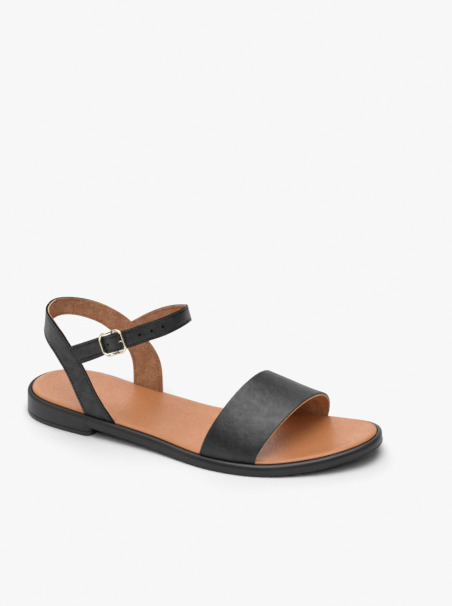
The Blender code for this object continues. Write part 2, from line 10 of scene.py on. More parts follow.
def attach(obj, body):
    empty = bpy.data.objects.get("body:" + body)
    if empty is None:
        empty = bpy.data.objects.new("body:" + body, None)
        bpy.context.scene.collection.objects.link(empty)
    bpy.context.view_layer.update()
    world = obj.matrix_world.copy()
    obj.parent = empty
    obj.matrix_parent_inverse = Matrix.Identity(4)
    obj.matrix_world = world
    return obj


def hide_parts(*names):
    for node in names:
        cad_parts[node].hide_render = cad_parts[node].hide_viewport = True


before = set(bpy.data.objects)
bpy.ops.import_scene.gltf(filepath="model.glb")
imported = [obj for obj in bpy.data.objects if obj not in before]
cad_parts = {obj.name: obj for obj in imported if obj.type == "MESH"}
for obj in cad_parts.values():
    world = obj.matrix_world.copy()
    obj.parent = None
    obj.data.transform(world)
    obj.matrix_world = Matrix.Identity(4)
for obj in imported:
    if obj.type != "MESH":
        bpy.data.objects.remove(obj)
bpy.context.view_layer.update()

bl_info = {
    "name": "Flat ankle-strap sandal",
    "version": (1, 0, 0),
    "blender": (4, 5, 0),
    "location": "View3D > Sidebar > Sandal",
    "description": "Models a flat leather sandal over its solids, piece by piece",
    "category": "Add Mesh",
}

MM = 0.001
# Points closer than this many millimetres are one point
MERGE_DISTANCE = 0.002
# A mix node's sockets for its two colours
MIX_A, MIX_B = 6, 7

# Tables are in millimetres, with x from the back of the insole, y to the inner side and z up.
# This shift takes them to the frame of the solids.
ROW_SHIFT = np.array([-124.658, 2.4546, 0.0])
# Play between a strap and its slot, and between the prong's eye and its bar
GAP = 0.3

# Outline of the insole seen from above
INSOLE_OUTLINE = [
    # place, x, y
    ("heel back", 1.7, 1.0),
    ("heel lateral curve", 9.0, -17.0),
    ("heel lateral", 35.0, -27.8),
    ("waist lateral", 75.0, -32.2),
    ("shank lateral", 114.0, -37.0),
    ("ball lateral", 150.0, -44.4),
    ("little toe", 185.0, -41.8),
    ("toe lateral", 213.5, -29.0),
    ("toe front lateral", 236.0, -11.4),
    ("toe tip", 247.4, 10.0),
    ("toe front medial", 241.6, 27.6),
    ("big toe", 211.0, 38.8),
    ("ball medial", 178.0, 38.8),
    ("shank medial", 137.0, 25.6),
    ("waist medial", 96.0, 24.4),
    ("heel medial front", 60.0, 27.6),
    ("heel medial", 30.0, 29.8),
    ("heel medial curve", 7.5, 19.0),
]
STATIONS_PER_SIDE = 120
DENSE_POINTS = 2881

# Height of the sole's underside above the floor, along the foot
UNDERSIDE = [
    # x, height
    (-4.0, 9.3),
    (20.0, 8.8),
    (60.0, 6.6),
    (100.0, 3.35),
    (148.0, 0.0),
    (184.0, 0.0),
    (215.0, 2.6),
    (252.0, 9.2),
]

# Width of the sole's edge outside the insole, as a share of the sizes below, along the foot
EDGE_WIDTH = [
    # x, share
    (0.0, 0.78),
    (60.0, 0.84),
    (140.0, 1.0),
    (250.0, 1.06),
]

# Side of the sole: distance out from the insole's edge, height above the underside
SOLE_SIDE = [
    # place, out, up at the ball, up at the heel
    ("tray floor", 0.3, 4.6, 4.6),
    ("lip inside", 0.3, 7.0, 6.9),
    ("lip inside round", 0.42, 7.45, 7.35),
    ("lip crest inside", 0.7, 7.7, 7.58),
    ("lip crest", 1.1, 7.76, 7.62),
    ("lip crest outside", 1.6, 7.66, 7.58),
    ("lip slope", 2.15, 7.42, 7.47),
    ("lip round", 2.65, 7.08, 7.27),
    ("lip shoulder", 3.0, 6.7, 6.98),
    ("lip outside", 3.15, 6.35, 6.6),
    ("groove top", 3.16, 6.1, 6.25),
    ("groove", 3.06, 5.95, 6.05),
    ("groove bottom", 3.14, 5.8, 5.85),
    ("band top", 3.26, 5.6, 5.6),
    ("band middle", 3.42, 3.4, 3.4),
    ("band bottom", 3.45, 1.4, 1.4),
    ("ledge inside", 3.5, 1.2, 1.2),
    ("ledge", 3.75, 1.1, 1.1),
    ("ledge outside", 3.85, 0.85, 0.85),
    ("ledge side", 3.8, 0.55, 0.55),
    ("foot of the ledge", 3.4, 0.2, 0.2),
    ("underside edge", 2.6, 0.0, 0.0),
    ("underside border", -4.0, 0.0, 0.0),
    ("underside step", -4.7, 0.45, 0.45),
]
# Where the lip of the heel turns into the lip of the ball
LIP_TURN = (90.0, 150.0)
# Ends of the line that the rings of the sole and the insole close on, and the rings' shares of the way to it
SPINE_ENDS = (26.0, 214.0)
FROM_SPINE = (1.0, 0.5)
TO_SPINE = (0.5, 1.0)
FIELD_STEPS = (0.35, 0.7, 1.0)

# Low heel under the sole: distance out from the insole's edge, height, and the breast's height and place
HEEL_BREAST_X = 60.0
HEEL_CORNER_RADIUS = 6.0
HEEL_CORNER_POINTS = 13
# The heel's sides end this far behind its corners
HEEL_CORNER_RUN = 6.0
HEEL_SPINE_ENDS = (22.0, 40.0)
HEEL_BOTTOM_STEPS = (1.0, 0.6)
HEEL_WALL = [
    # place, out, height above the floor
    ("bottom edge", 3.38, 3.6),
    ("low round", 3.5, 3.74),
    ("wall", 3.5, 4.4),
]
HEEL_SIDE = [
    # place, out, height above the underside at the side, at the breast, breast x
    ("wall top", 3.2, 5.4, 3.0, 60.0),
    ("shoulder", 3.05, 6.3, 3.0, 60.0),
    ("shoulder round", 2.75, 6.95, 2.95, 59.6),
    ("lip round", 2.3, 7.36, 2.9, 59.2),
    ("lip middle", 1.4, 7.4, 2.8, 58.5),
    ("core", 0.8, 3.0, 2.5, 57.0),
]
HEEL_CORE_UP = 2.6
TOP_LIFT_SIDE = [
    # place, out, height
    ("underside", 2.6, 0.0),
    ("low round", 3.2, 0.15),
    ("low edge", 3.5, 0.6),
    ("wall", 3.55, 2.0),
    ("top edge", 3.5, 3.1),
    ("top round", 3.3, 3.3),
]

# Padded insole: distance out from its edge, height above the underside
INSOLE_SIDE = [
    # place, out, up
    ("bottom", -1.3, 4.9),
    ("lower side", -1.0, 5.5),
    ("upper side", -0.95, 6.9),
    ("crease", -0.75, 7.4),
    ("under the roll", -0.35, 7.75),
    ("roll low", -0.14, 8.1),
    ("roll", -0.45, 8.6),
    ("roll high", -1.05, 9.05),
    ("crest outside", -2.0, 9.45),
    ("crest", -3.1, 9.62),
    ("fall", -4.5, 9.55),
    ("fall low", -6.3, 9.28),
    ("bed edge", -8.2, 9.08),
    ("bed", -10.5, 8.98),
]
BED_STEPS = (0.15, 0.3, 0.45, 0.6, 0.75, 0.88, 1.0)
BED_DISH = 0.35
BED_DISHES = [
    # place, x, y, half length, half width
    ("heel", 34.0, 1.0, 30.0, 20.0),
    ("ball", 178.0, -2.0, 34.0, 28.0),
]

# Straps, and how far their feet go in and down beside the insole
STRAP_WALL = 2.2
ROOT_INSET = 1.25
ROOT_UP = 4.9
ROOT_TOP_UP = 9.2
# Slots go on past the feet by this share of their height
SLOT_REACH = 0.5
SLOT_SECTIONS = 5
# Columns across a narrow strap: from its edge, then from its seam
EDGE_COLUMNS = (0.0, 0.35, 0.8)
SEAM_COLUMNS = (-0.45, 0.0, 0.45, 1.0, 2.0)

# Toe strap: its back, middle and front lines over the foot
TOE_STRAP_LINES = [
    # line, lateral foot x, medial foot x, crown height, squareness, skew, forward bow
    ("back", 143.5, 165.0, 40.8, 0.91, 0.16, 10.0),
    ("middle", 163.0, 185.0, 33.4, 0.96, 0.155, 8.6),
    ("front", 182.3, 204.5, 27.8, 1.02, 0.15, 7.5),
]
TOE_STRAP_WIDTH = TOE_STRAP_LINES[-1][1] - TOE_STRAP_LINES[0][1]
TOE_STRAP_EDGE_ROUND = 0.28
TOE_SECTIONS, TOE_COLUMNS = 91, 33
# The toe strap's slots: sections over the whole strap, columns, rows at each end, and depth below its feet
TOE_SLOT_SECTIONS, TOE_SLOT_COLUMNS = 37, 9
TOE_SLOT_ROWS = 6
TOE_SLOT_DEEPER = 2.0

# Back strap, from the lateral side round the heel to the medial side
BACK_STRAP = [
    # place, rear edge x, y, z, front edge x, y, z
    ("lateral low", 48.0, -29.2, 26.5, 63.4, -29.8, 30.4),
    ("lateral middle", 41.6, -28.6, 39.6, 55.6, -29.0, 45.0),
    ("lateral ankle", 34.3, -27.2, 50.4, 46.0, -28.6, 60.2),
    ("lateral heel", 25.8, -23.4, 58.4, 34.0, -26.6, 74.0),
    ("lateral back", 18.3, -15.0, 62.2, 22.8, -18.2, 79.0),
    ("heel back", 13.8, 0.0, 64.2, 14.9, 0.0, 78.6),
    ("medial back", 16.6, 14.6, 63.9, 15.6, 13.6, 76.8),
    ("medial heel", 28.5, 24.9, 60.4, 30.0, 25.7, 73.3),
    ("medial ankle", 42.8, 28.6, 54.6, 47.0, 28.9, 68.2),
    ("medial bend", 54.0, 29.2, 46.4, 62.0, 29.2, 60.4),
    ("medial middle", 61.4, 29.0, 37.4, 74.6, 29.0, 48.4),
    ("medial low", 64.4, 28.4, 27.0, 83.4, 28.4, 35.6),
]
# The back strap's two feet: x of the rear and front edge in the slot and at the lip
BACK_STRAP_FEET = {
    # place: side, rear x in the slot, front x in the slot, rear x at the lip, front x at the lip
    "lateral foot": (-1, 54.9, 78.2, 52.8, 75.0),
    "medial foot": (1, 66.0, 88.2, 65.9, 87.8),
}
# Room in front of each foot: the lining flares out at the lateral one
SLOT_SPARE = {"lateral foot": 1.6, "medial foot": GAP}
BACK_STRAP_WIDTH = 15.5
BACK_STRAP_EDGE_ROUND = 0.25
BACK_SECTIONS = 200
# The lining flares out at the lateral foot, is set in above it and comes to the edge round the heel
LINING_SPARE = [
    # share of the length from the lateral foot, width to spare at the rear edge, at the front edge
    (0.0, -0.6, 1.5),
    (0.022, -0.6, 1.3),
    (0.05, -0.6, 0.5),
    (0.075, -0.6, -0.1),
    (0.1, -0.6, -0.6),
    (0.31, -0.6, -0.6),
    (0.38, -0.2, -0.2),
    (0.6, -0.1, -0.1),
    (0.68, 0.1, 0.8),
    (1.0, 0.2, 0.9),
]
# The lining's cut edge is bare below this height on the lateral side, and behind these x and y at the heel
BARE_BELOW_Z = 24.0
BARE_BEHIND_XY = (22.0, 8.0)

# Buckle: its middle, the run of the strap through it, and the lean of its upper side towards the leg
BUCKLE_MIDDLE = (76.3, -30.8, 72.4)
BUCKLE_RUN = (0.918, 0.05, 0.392)
BUCKLE_LEAN_DEG = 9.0
FRAME_HALF_LENGTH = 8.4
FRAME_HALF_HEIGHT = 7.7
FRAME_CORNER_RADIUS = 4.4
FRAME_WIRE_RADIUS = 0.85
FRAME_END_OUT = 1.5
BAR_OUT = -1.6
BAR_RADIUS = 0.8

# Ankle strap: medial root, round the front of the ankle, then through the buckle to its tip
ANKLE_WALL = 1.8
ANKLE_WIDTH = 12.0
ANKLE_EDGE_ROUND = 0.3
ANKLE_SECTIONS = 240
OVER_BAR_OUT = 1.95
ANKLE_STRAP = [
    # place, lower edge x, y, z, upper edge x, y, z
    ("medial root", 63.4, 29.0, 46.8, 56.4, 29.0, 56.2),
    ("medial joint", 71.4, 28.9, 52.2, 64.6, 28.9, 62.0),
    ("medial side", 83.6, 28.0, 60.8, 77.6, 27.2, 71.0),
    ("medial front", 98.4, 24.6, 69.0, 93.4, 23.4, 79.8),
    ("front medial curve", 111.2, 14.6, 76.0, 107.2, 14.0, 86.8),
    ("front", 118.6, -4.4, 82.8, 116.0, -4.0, 93.8),
    ("front lateral curve", 110.2, -19.6, 79.4, 105.6, -18.6, 90.4),
    ("lateral front", 96.8, -26.8, 74.4, 92.2, -25.6, 85.4),
]
ANKLE_STRAP_IN_BUCKLE = [
    # place, along the run, up, out
    ("before the front bar", 12.0, 0.0, -0.95),
    ("under the front bar", 8.4, 0.0, -0.8),
    ("front rise", 5.4, 0.0, 0.9),
    ("over the middle bar", 0.0, 0.0, OVER_BAR_OUT),
    ("back fall", -4.2, 0.0, 0.55),
    ("under the back bar", -8.4, 0.0, -0.8),
    ("on the chape", -16.0, -0.3, -0.9),
    ("end of the chape", -24.0, -0.6, -0.7),
]
TIP_UPPER_ALONG = -33.8
TIP_LOWER_ALONG = -28.8
TIP_UP = -1.0
TIP_OUT = -0.6
# The tip's end is cut round, this far past a straight cut, over this length
TIP_ROUND = 2.0
TIP_ROUND_LENGTH = 8.0
TIP_COLUMNS = 41
# The root is pared to a share of its thickness, up to this distance, and is full after this run
PARED_SHARE = 0.4
PARED_UP_TO = 6.0
PARED_RUN = 10.0
ANKLE_LINING_SPARE = [
    # share of the length from the root, width to spare at both edges
    (0.0, -0.1),
    (0.42, -0.1),
    (0.52, -0.6),
    (1.0, -0.6),
]
# Play between the strap's leather and its lining
LAYER_PLAY = 0.02

# Punched holes along the ankle strap, counted from the middle bar towards the front
HOLES_ALONG = (-3.6, 20.0, 28.1, 36.3)
HOLE_RADIUS = 0.9
PRONG_HOLE_RADIUS = 1.0
# The holes stop short of each other from either face: this much leather is left across each, a dark floor put
# in as painted shade deep in the hole, and no light comes through
HOLE_SHADE_WEB = 0.2
PUNCH_DEPTH = 3.0

# Chape: the short strap that holds the buckle's middle bar, from its root to the fold round the bar
CHAPE_WALL = 1.7
CHAPE_WIDTH = 11.4
CHAPE_RUN = [
    # along the run, up, out
    (-32.0, -3.0, -3.15),
    (-26.0, -2.65, -3.15),
    (-20.0, -2.2, -3.15),
    (-14.0, -1.6, -3.15),
    (-9.4, -1.0, -3.15),
    (-5.6, -0.4, -3.0),
    (-2.6, 0.0, -3.1),
]
CHAPE_END = (-2.6, 0.0, -2.2)
CHAPE_SECTIONS = 120
CHAPE_EDGE_ROUND = 0.2
# Distances along it between which its root is pared, and between which it thins to the eye's wall
CHAPE_PARED = (4.0, 12.0)
CHAPE_PARED_SHARE = 0.5
CHAPE_THINNED = (22.0, 30.0)
EYE_MIDDLE_RADIUS = 1.7
EYE_WALL = 1.2
EYE_TURN_DEG = (-90, 170)
EYE_SECTIONS = 14
# Slot for the prong: length, width, depth
PRONG_SLOT = (7.2, 3.4, 8.0)
PRONG_SLOT_ROUND = 0.5
PRONG_SLOT_BACK = 0.2

# Prong
PRONG_RADIUS = 0.65
PRONG_EYE_WIDTH = 2.6
PRONG_EYE_WALL = 0.9
PRONG_LENGTH = 10.6
PRONG_PLAY = 0.1
PRONG_PUNCH_FROM = 1.6
# Share of the length that is straight, then the taper: width against the last, share of the length
PRONG_STRAIGHT = 0.6
PRONG_TAPER = [(0.9, 0.22), (0.84, 0.1), (0.7, 0.05), (0.5, 0.02)]

# Seams: how far the thread is sunk, how flat it lies, its lean, and the pull of the seam on the leather
STITCH_SUNK = 0.08
STITCH_FLATNESS = 0.8
STITCH_LEAN_DEG = 7.0
TROUGH_DEPTH = 0.24
TROUGH_HALF_WIDTH = 0.5
BACK_SEAM_KEEP = (0.035, 0.965)
ANKLE_SEAM_KEEP = (0.09, 0.99)

# Edges that turn by less than this many degrees are shaded smooth
SOLE_SMOOTH_DEG = 34
INSOLE_SMOOTH_DEG = 40
STRAP_SMOOTH_DEG = 50
BUCKLE_SMOOTH_DEG = 50
THREAD_SMOOTH_DEG = 80

# Soft creases across the ankle strap, counted from the middle bar towards the front
ANKLE_CREASES = [
    # along, slant across the strap, depth, half width
    (14.5, 2.0, 0.22, 1.8),
    (24.0, -1.5, 0.16, 2.2),
    (32.4, 2.5, 0.18, 2.0),
    (43.0, 4.0, 0.20, 3.0),
    (55.0, -3.0, 0.14, 3.5),
    (-18.0, 1.5, 0.12, 2.5),
]
# Soft creases across the back strap, as the share of its length from the lateral foot
BACK_CREASES = [
    # share, slant across the strap, depth, half width
    (0.29, 3.0, 0.25, 4.0),
    (0.36, -3.0, 0.20, 4.5),
    (0.45, 2.0, 0.18, 5.0),
    (0.62, -2.0, 0.18, 5.0),
    (0.74, 3.0, 0.22, 4.0),
]
# Shallow hollows on the toe strap where the leather has been drawn over the last
TOE_HOLLOWS = [
    # turn round the foot from 0 to 1, share across from the back, depth, half length, half width
    (0.27, 0.30, 0.28, 0.10, 0.30),
    (0.40, 0.72, 0.22, 0.09, 0.26),
    (0.16, 0.66, 0.20, 0.08, 0.34),
]

# Camera and light of the photograph
CAMERA_PLACE = (0.628352, -1.495178, 0.816337)
CAMERA_TURN_DEG = (66.1051, -0.0750, 22.1366)
CAMERA_LENS = 158.257
CAMERA_SENSOR = 36.0
FLOOR_SIZE = 12.0
# All that is as bright as the paper has the paper's tone, by the curve for all channels
PAPER_TONE = 0.931
ALL_CHANNELS = 3
TENT_CLOTH = 0.05
TENT = [
    # part of the tent, direction to it, degrees from its middle to its fade and to its end, radiance
    ("lamp overhead", (0.0, 0.0, 1.0), 14.0, 30.0, 4.3),
    ("lamp over the front", (0.2, -0.57, 0.8), 12.0, 30.0, 1.9),
    ("lamp over the heel", (-0.6, 0.0, 0.8), 12.0, 30.0, 0.4),
    ("lamp behind the heel", (-0.6, 0.6, 0.53), 12.0, 26.0, 1.6),
    ("back of the tent", (-0.1, 1.0, 0.3), 15.0, 45.0, 0.8),
    ("heel's side of the tent", (-1.0, -0.3, 0.3), 15.0, 40.0, 0.5),
]


def linear(code):
    """Linear red, green and blue of an sRGB hex colour."""
    shares = [int(code[i : i + 2], 16) / 255 for i in (1, 3, 5)]
    return tuple(s / 12.92 if s <= 0.04045 else ((s + 0.055) / 1.055) ** 2.4 for s in shares)


def cells(size):
    """Scale of a pattern whose cells are that many millimetres wide."""
    return 1000.0 / size


def length(name, description, default, low, high):
    """A length property with its usual value and its limits."""
    return bpy.props.FloatProperty(
        name=name, description=description, default=default, min=low, max=high, precision=5, unit="LENGTH"
    )


class SandalSizes(bpy.types.PropertyGroup):
    """Sizes that a user may change without changing the form of the last."""

    leather: length("Strap leather", "Thickness of the straps' black leather", 0.0013, 0.0006, 0.0014)
    lining: length("Strap lining", "Thickness of the straps' suede lining", 0.0008, 0.0006, 0.0012)
    lining_edge: length("Lining edge", "How far the lining's cut edge stands out", 0.00045, 0.0, 0.0008)
    stitch_length: length("Stitch length", "Length of one stitch that shows", 0.0016, 0.001, 0.003)
    stitch_pitch: length("Stitch pitch", "Distance from one stitch to the next", 0.0023, 0.0015, 0.005)
    stitch_inset: length("Seam inset", "Distance of the seams from the straps' edges", 0.0017, 0.001, 0.003)
    thread: length("Thread", "Thickness of the sewing thread", 0.0005, 0.0002, 0.001)
    crease: bpy.props.FloatProperty(
        name="Creases", description="Depth of the straps' creases, as a share of their usual depth",
        default=1.0, min=0.0, max=2.0, subtype="FACTOR",
    )


def colour(name, description, code):
    """A colour property whose default is an sRGB hex colour."""
    return bpy.props.FloatVectorProperty(
        name=name, description=description, default=linear(code), size=3, min=0.0, max=1.0, subtype="COLOR"
    )


class SandalColours(bpy.types.PropertyGroup):
    """Colours of the sandal's materials and of the floor."""

    calf: colour("Black leather", "Colour of the straps' leather", "#0C0C0D")
    calf_pale: colour("Black leather, worn", "Paler clouds of the straps' leather", "#252526")
    suede: colour("Suede", "Colour of the straps' lining", "#A57353")
    suede_pale: colour("Suede, brushed", "Paler nap of the straps' lining", "#CA9B79")
    cut_edge: colour("Cut edge", "Colour of the lining's cut edge", "#E2BE9C")
    tan: colour("Tan leather", "Colour of the insole's leather", "#BC7846")
    tan_pale: colour("Tan leather, pale", "Paler clouds of the insole's leather", "#C17F50")
    rubber: colour("Black rubber", "Colour of the sole and heel", "#1C1C1D")
    rubber_pale: colour("Black rubber, dusty", "Paler bloom of the sole and heel", "#2A2A2B")
    gold: colour("Pale gold", "Colour of the buckle's plating", "#FBEFD2")
    thread: colour("Thread", "Colour of the sewing thread outside", "#0B0A0A")
    bobbin: colour("Bobbin thread", "Colour of the sewing thread inside", "#7A4C30")
    floor: colour("Floor", "Colour of the floor", "#EAEAEA")


def steady_curve(rows):
    """A smooth function through (x, value) rows that never overshoots them."""
    x, value = (np.array(column, float) for column in zip(*rows))
    step, rise = np.diff(x), np.diff(value)
    chord = rise / step
    slope = np.zeros(len(x))
    for i in range(1, len(x) - 1):
        before, after = chord[i - 1], chord[i]
        if before * after > 0:
            slope[i] = 2 * before * after / (before + after)
    slope[0], slope[-1] = chord[0], chord[-1]

    def at(where):
        where = np.clip(where, x[0], x[-1])
        i = np.clip(np.searchsorted(x, where, side="right") - 1, 0, len(step) - 1)
        t = (where - x[i]) / step[i]
        bend = t * (1 - t)
        return (
            value[i] * (1 - t) + value[i + 1] * t
            + bend * step[i] * ((1 - t) * (slope[i] - chord[i]) + t * (chord[i] - slope[i + 1]))
        )

    return at


def smooth_curve(points, closed=False):
    """A cubic spline through points, as a function of the share of its length from 0 to 1."""
    points = np.array(points, float)
    knots = np.vstack([points, points[:1]]) if closed else points
    span = np.linalg.norm(np.diff(knots, axis=0), axis=1)
    place = np.concatenate([[0.0], np.cumsum(span)])
    count = len(points)
    matrix, right = np.zeros((count, count)), np.zeros_like(points)
    for i in range(count):
        if not closed and i in (0, count - 1):
            matrix[i, i] = 1.0
            continue
        before, after = span[i - 1], span[i]
        matrix[i, (i - 1) % count] += before
        matrix[i, i] += 2 * (before + after)
        matrix[i, (i + 1) % count] += after
        right[i] = 6 * ((knots[i + 1] - knots[i]) / after - (knots[i] - points[i - 1]) / before)
    bend = np.linalg.solve(matrix, right)
    if closed:
        bend = np.vstack([bend, bend[:1]])

    def at(share):
        where = np.clip(np.asarray(share, float), 0.0, 1.0) * place[-1]
        i = np.clip(np.searchsorted(place, where, side="right") - 1, 0, len(span) - 1)
        width = span[i][:, None]
        a = ((place[i + 1] - where) / span[i])[:, None]
        b = 1 - a
        return (
            a * knots[i] + b * knots[i + 1]
            + ((a**3 - a) * bend[i] + (b**3 - b) * bend[i + 1]) * width**2 / 6
        )

    return at


def unit(vector):
    vector = np.asarray(vector, float)
    return vector / np.linalg.norm(vector, axis=-1, keepdims=True)


def eased(share):
    """A share from 0 to 1, with a slow start and a slow end."""
    return share * share * (3 - 2 * share)


def sampled(stops, places, values):
    """Rows of values, given at places along a line, at other stops along it."""
    return np.stack([np.interp(stops, places, column) for column in values.T], axis=1)


def walked(line):
    """Distance along a line of points to each of them."""
    return np.concatenate([[0.0], np.cumsum(np.linalg.norm(np.diff(line, axis=0), axis=1))])


def sole_outline():
    """Points and outward normals of the insole's outline, from the heel's back by the lateral side."""
    curve = smooth_curve([row[1:] for row in INSOLE_OUTLINE], closed=True)
    dense = curve(np.linspace(0, 1, DENSE_POINTS))
    heel, tip = int(dense[:-1, 0].argmin()), int(dense[:-1, 0].argmax())
    dense = np.roll(dense[:-1], -heel, axis=0)
    tip = (tip - heel) % len(dense)
    loop = []
    for side in (dense[: tip + 1], np.vstack([dense[tip:], dense[:1]])):
        distance = walked(side)
        stops = np.linspace(0, distance[-1], STATIONS_PER_SIDE + 1)[:-1]
        loop.append(sampled(stops, distance, side))
    loop = np.vstack(loop)
    along = np.roll(loop, -1, axis=0) - np.roll(loop, 1, axis=0)
    outward = unit(np.stack([along[:, 1], -along[:, 0]], axis=1))
    if ((loop - loop.mean(axis=0)) * outward).sum() < 0:
        outward = -outward
    return loop, outward


OUTLINE, OUTWARD = sole_outline()
underside = steady_curve(UNDERSIDE)
edge_width = steady_curve(EDGE_WIDTH)


def edge_y(x, side, inset):
    """Y of the insole's edge at x, set in by inset: side -1 is lateral and 1 is medial."""
    inner = OUTLINE - OUTWARD * inset
    half = inner[: STATIONS_PER_SIDE + 1]
    if side > 0:
        half = np.vstack([inner[STATIONS_PER_SIDE:], inner[:1]])[::-1]
    return float(np.interp(x, half[:, 0], half[:, 1]))


def sole_ring(out, up):
    """One closed ring round the sole, out from the insole's edge and up from the underside."""
    if out > GAP:
        out = GAP + (out - GAP) * edge_width(OUTLINE[:, :1])
    flat = OUTLINE + OUTWARD * out
    return np.column_stack([flat, underside(flat[:, 0]) + up])


def above_underside(up):
    """Height of points that far above the sole's underside, as a function of the points."""
    return lambda points: underside(points[:, 0]) + up


def level(height):
    """The same height at all points, as a function of the points."""
    return lambda points: np.full(len(points), height)


def insole_bed(points):
    """Height of the insole's top, dished under the heel and the ball."""
    x, y = points[:, 0], points[:, 1]
    dish = 0.0
    for _, middle_x, middle_y, half_length, half_width in BED_DISHES:
        dish += np.exp(-(((x - middle_x) / half_length) ** 2 + ((y - middle_y) / half_width) ** 2))
    return underside(x) + INSOLE_SIDE[-1][2] - BED_DISH * dish


def rings_to_spine(ring, steps, ends, height):
    """Rings at shares of the way from a ring to a line along its middle, at the height of a function."""
    flat = ring[:, :2]
    partner = flat[-np.arange(len(flat)) % len(flat)]
    middle = (flat + partner) / 2
    half = middle[: len(flat) // 2 + 1]
    x = np.clip(middle[:, 0], *ends)
    spine = np.column_stack([x, np.interp(x, half[:, 0], half[:, 1])])
    rings = []
    for step in steps:
        points = flat + (spine - flat) * step
        rings.append(np.column_stack([points, height(points)]))
    return rings


def heel_ring(out, breast_x=HEEL_BREAST_X):
    """Flat ring round the heel, closed across its breast, and how far each point has turned to it."""
    flat = OUTLINE + OUTWARD * out
    corner_x = breast_x - HEEL_CORNER_RADIUS
    end_x = HEEL_BREAST_X - HEEL_CORNER_RADIUS - HEEL_CORNER_RUN
    last = max(i for i in range(STATIONS_PER_SIDE) if flat[i, 0] < end_x)
    sides, rounds = [], []
    for sign, side in ((-1, flat[: last + 1]), (1, np.vstack([flat[:1], flat[: -last - 1 : -1]]))):
        side_y = edge_y(corner_x, sign, -out)
        turns = np.linspace(0, math.pi / 2, HEEL_CORNER_POINTS)
        corner_y = side_y - sign * HEEL_CORNER_RADIUS * (1 - np.cos(turns))
        corner = np.column_stack([corner_x + HEEL_CORNER_RADIUS * np.sin(turns), corner_y])
        sides.append(np.vstack([side, corner]))
        rounds.append(np.concatenate([np.zeros(len(side)), np.sin(turns)]))
    return np.vstack([sides[0], sides[1][:0:-1]]), np.concatenate([rounds[0], rounds[1][:0:-1]])


def level_heel_ring(out, height):
    flat, _ = heel_ring(out)
    return np.column_stack([flat, np.full(len(flat), height)])


def heel_ring_in_sole(out, side_up, breast_up, breast_x):
    """A heel ring that follows the sole, side_up above its underside and breast_up across the breast."""
    flat, turned = heel_ring(out, breast_x)
    return np.column_stack([flat, underside(flat[:, 0]) + side_up + (breast_up - side_up) * turned])


def toe_strap_line(line, turns):
    """One line over the foot from the lateral slot to the medial slot."""
    lateral_x, medial_x, crown, square, skew, bow = line
    share, arch = (1 - np.cos(turns)) / 2, np.sin(turns)
    ends = []
    for x, side in ((lateral_x, -1), (medial_x, 1)):
        ends.append(np.array([x, edge_y(x, side, ROOT_INSET), underside(x) + ROOT_TOP_UP]))
    points = ends[0] + (ends[1] - ends[0]) * share[:, None]
    points[:, 0] += bow * arch
    points[:, 2] += crown * np.abs(arch) ** square * (1 - skew * np.cos(turns))
    roots = [end - (0, 0, ROOT_TOP_UP - ROOT_UP) for end in ends]
    return np.vstack([roots[:1], points, roots[1:]])


def toe_strap_grid(turns, shares):
    """The toe strap's middle surface: rows over the foot, columns from its back to its front line."""
    columns = list(zip(*TOE_STRAP_LINES))[1:]
    lines = []
    for share in shares:
        line = [
            a * (1 - share) * (1 - 2 * share) + 4 * b * share * (1 - share) + c * share * (2 * share - 1)
            for a, b, c in columns
        ]
        lines.append(toe_strap_line(line, turns))
    return np.stack(lines, axis=1)


def surface_normals(grid):
    """Unit normals of a strap's grid of points, away from the foot."""
    return unit(np.cross(np.gradient(grid, axis=1), np.gradient(grid, axis=0)))


def strap_edges(rows, sections, spare=(0.0, 0.0)):
    """The two edge lines of a strap from rows of its edges, made wider by what each edge has to spare."""
    share = np.linspace(0, 1, sections)
    a, b = (smooth_curve([row[i : i + 3] for row in rows])(share) for i in (0, 3))
    across = unit(b - a)
    rear, front = (np.reshape(edge, (-1, 1)) for edge in spare)
    return a - across * rear, b + across * front


def spare_along(rows, sections):
    """What a lining has to spare at its edges along its strap, from rows that start with the share."""
    place, *edges = zip(*rows)
    return [np.interp(np.linspace(0, 1, sections), place, edge) for edge in edges]


def strap_columns(width, inset):
    """Shares across a strap, close together by its two seams."""
    half = [*EDGE_COLUMNS, *(inset + from_seam for from_seam in SEAM_COLUMNS)]
    half += list(np.linspace(half[-1], width / 2, 4)[1:])
    shares = np.array(half) / width
    return np.concatenate([shares, (1 - shares[:-1])[::-1]])


def between(a, b, shares):
    """Points between two edge lines: rows along the strap, columns across it."""
    return a[:, None] + (b - a)[:, None] * np.asarray(shares)[None, :, None]


def foot_rows(place):
    """A back strap foot's two rows: in its slot, and where it passes the insole's edge."""
    side, rear_slot, front_slot, rear_lip, front_lip = BACK_STRAP_FEET[place]
    rows = []
    for rear, front, up in ((rear_slot, front_slot, ROOT_UP), (rear_lip, front_lip, ROOT_TOP_UP)):
        row = []
        for x in (rear, front):
            row += [x, edge_y(x, side, ROOT_INSET), float(underside(x)) + up]
        rows.append(row)
    return rows


def back_strap_rows():
    lateral, medial = foot_rows("lateral foot"), foot_rows("medial foot")
    return lateral + [list(row[1:]) for row in BACK_STRAP] + medial[::-1]


def buckle_axes():
    """Run, up and out directions of the buckle."""
    run = unit(BUCKLE_RUN)
    upright = unit(np.array([0, 0, 1]) - run * run[2])
    level_out = np.cross(run, upright)
    lean = math.radians(BUCKLE_LEAN_DEG)
    up = unit(upright * math.cos(lean) - level_out * math.sin(lean))
    return run, up, np.cross(run, up)


RUN, UP, OUT = buckle_axes()


def at_buckle(along, up, out):
    """A point given by its distances along, up and out from the buckle's middle."""
    return np.array(BUCKLE_MIDDLE) + RUN * along + UP * up + OUT * out


def turned_to(*directions):
    """The matrix that turns x, y and z to three directions."""
    return Matrix([[*row] for row in np.stack(directions, axis=1)]).to_4x4()


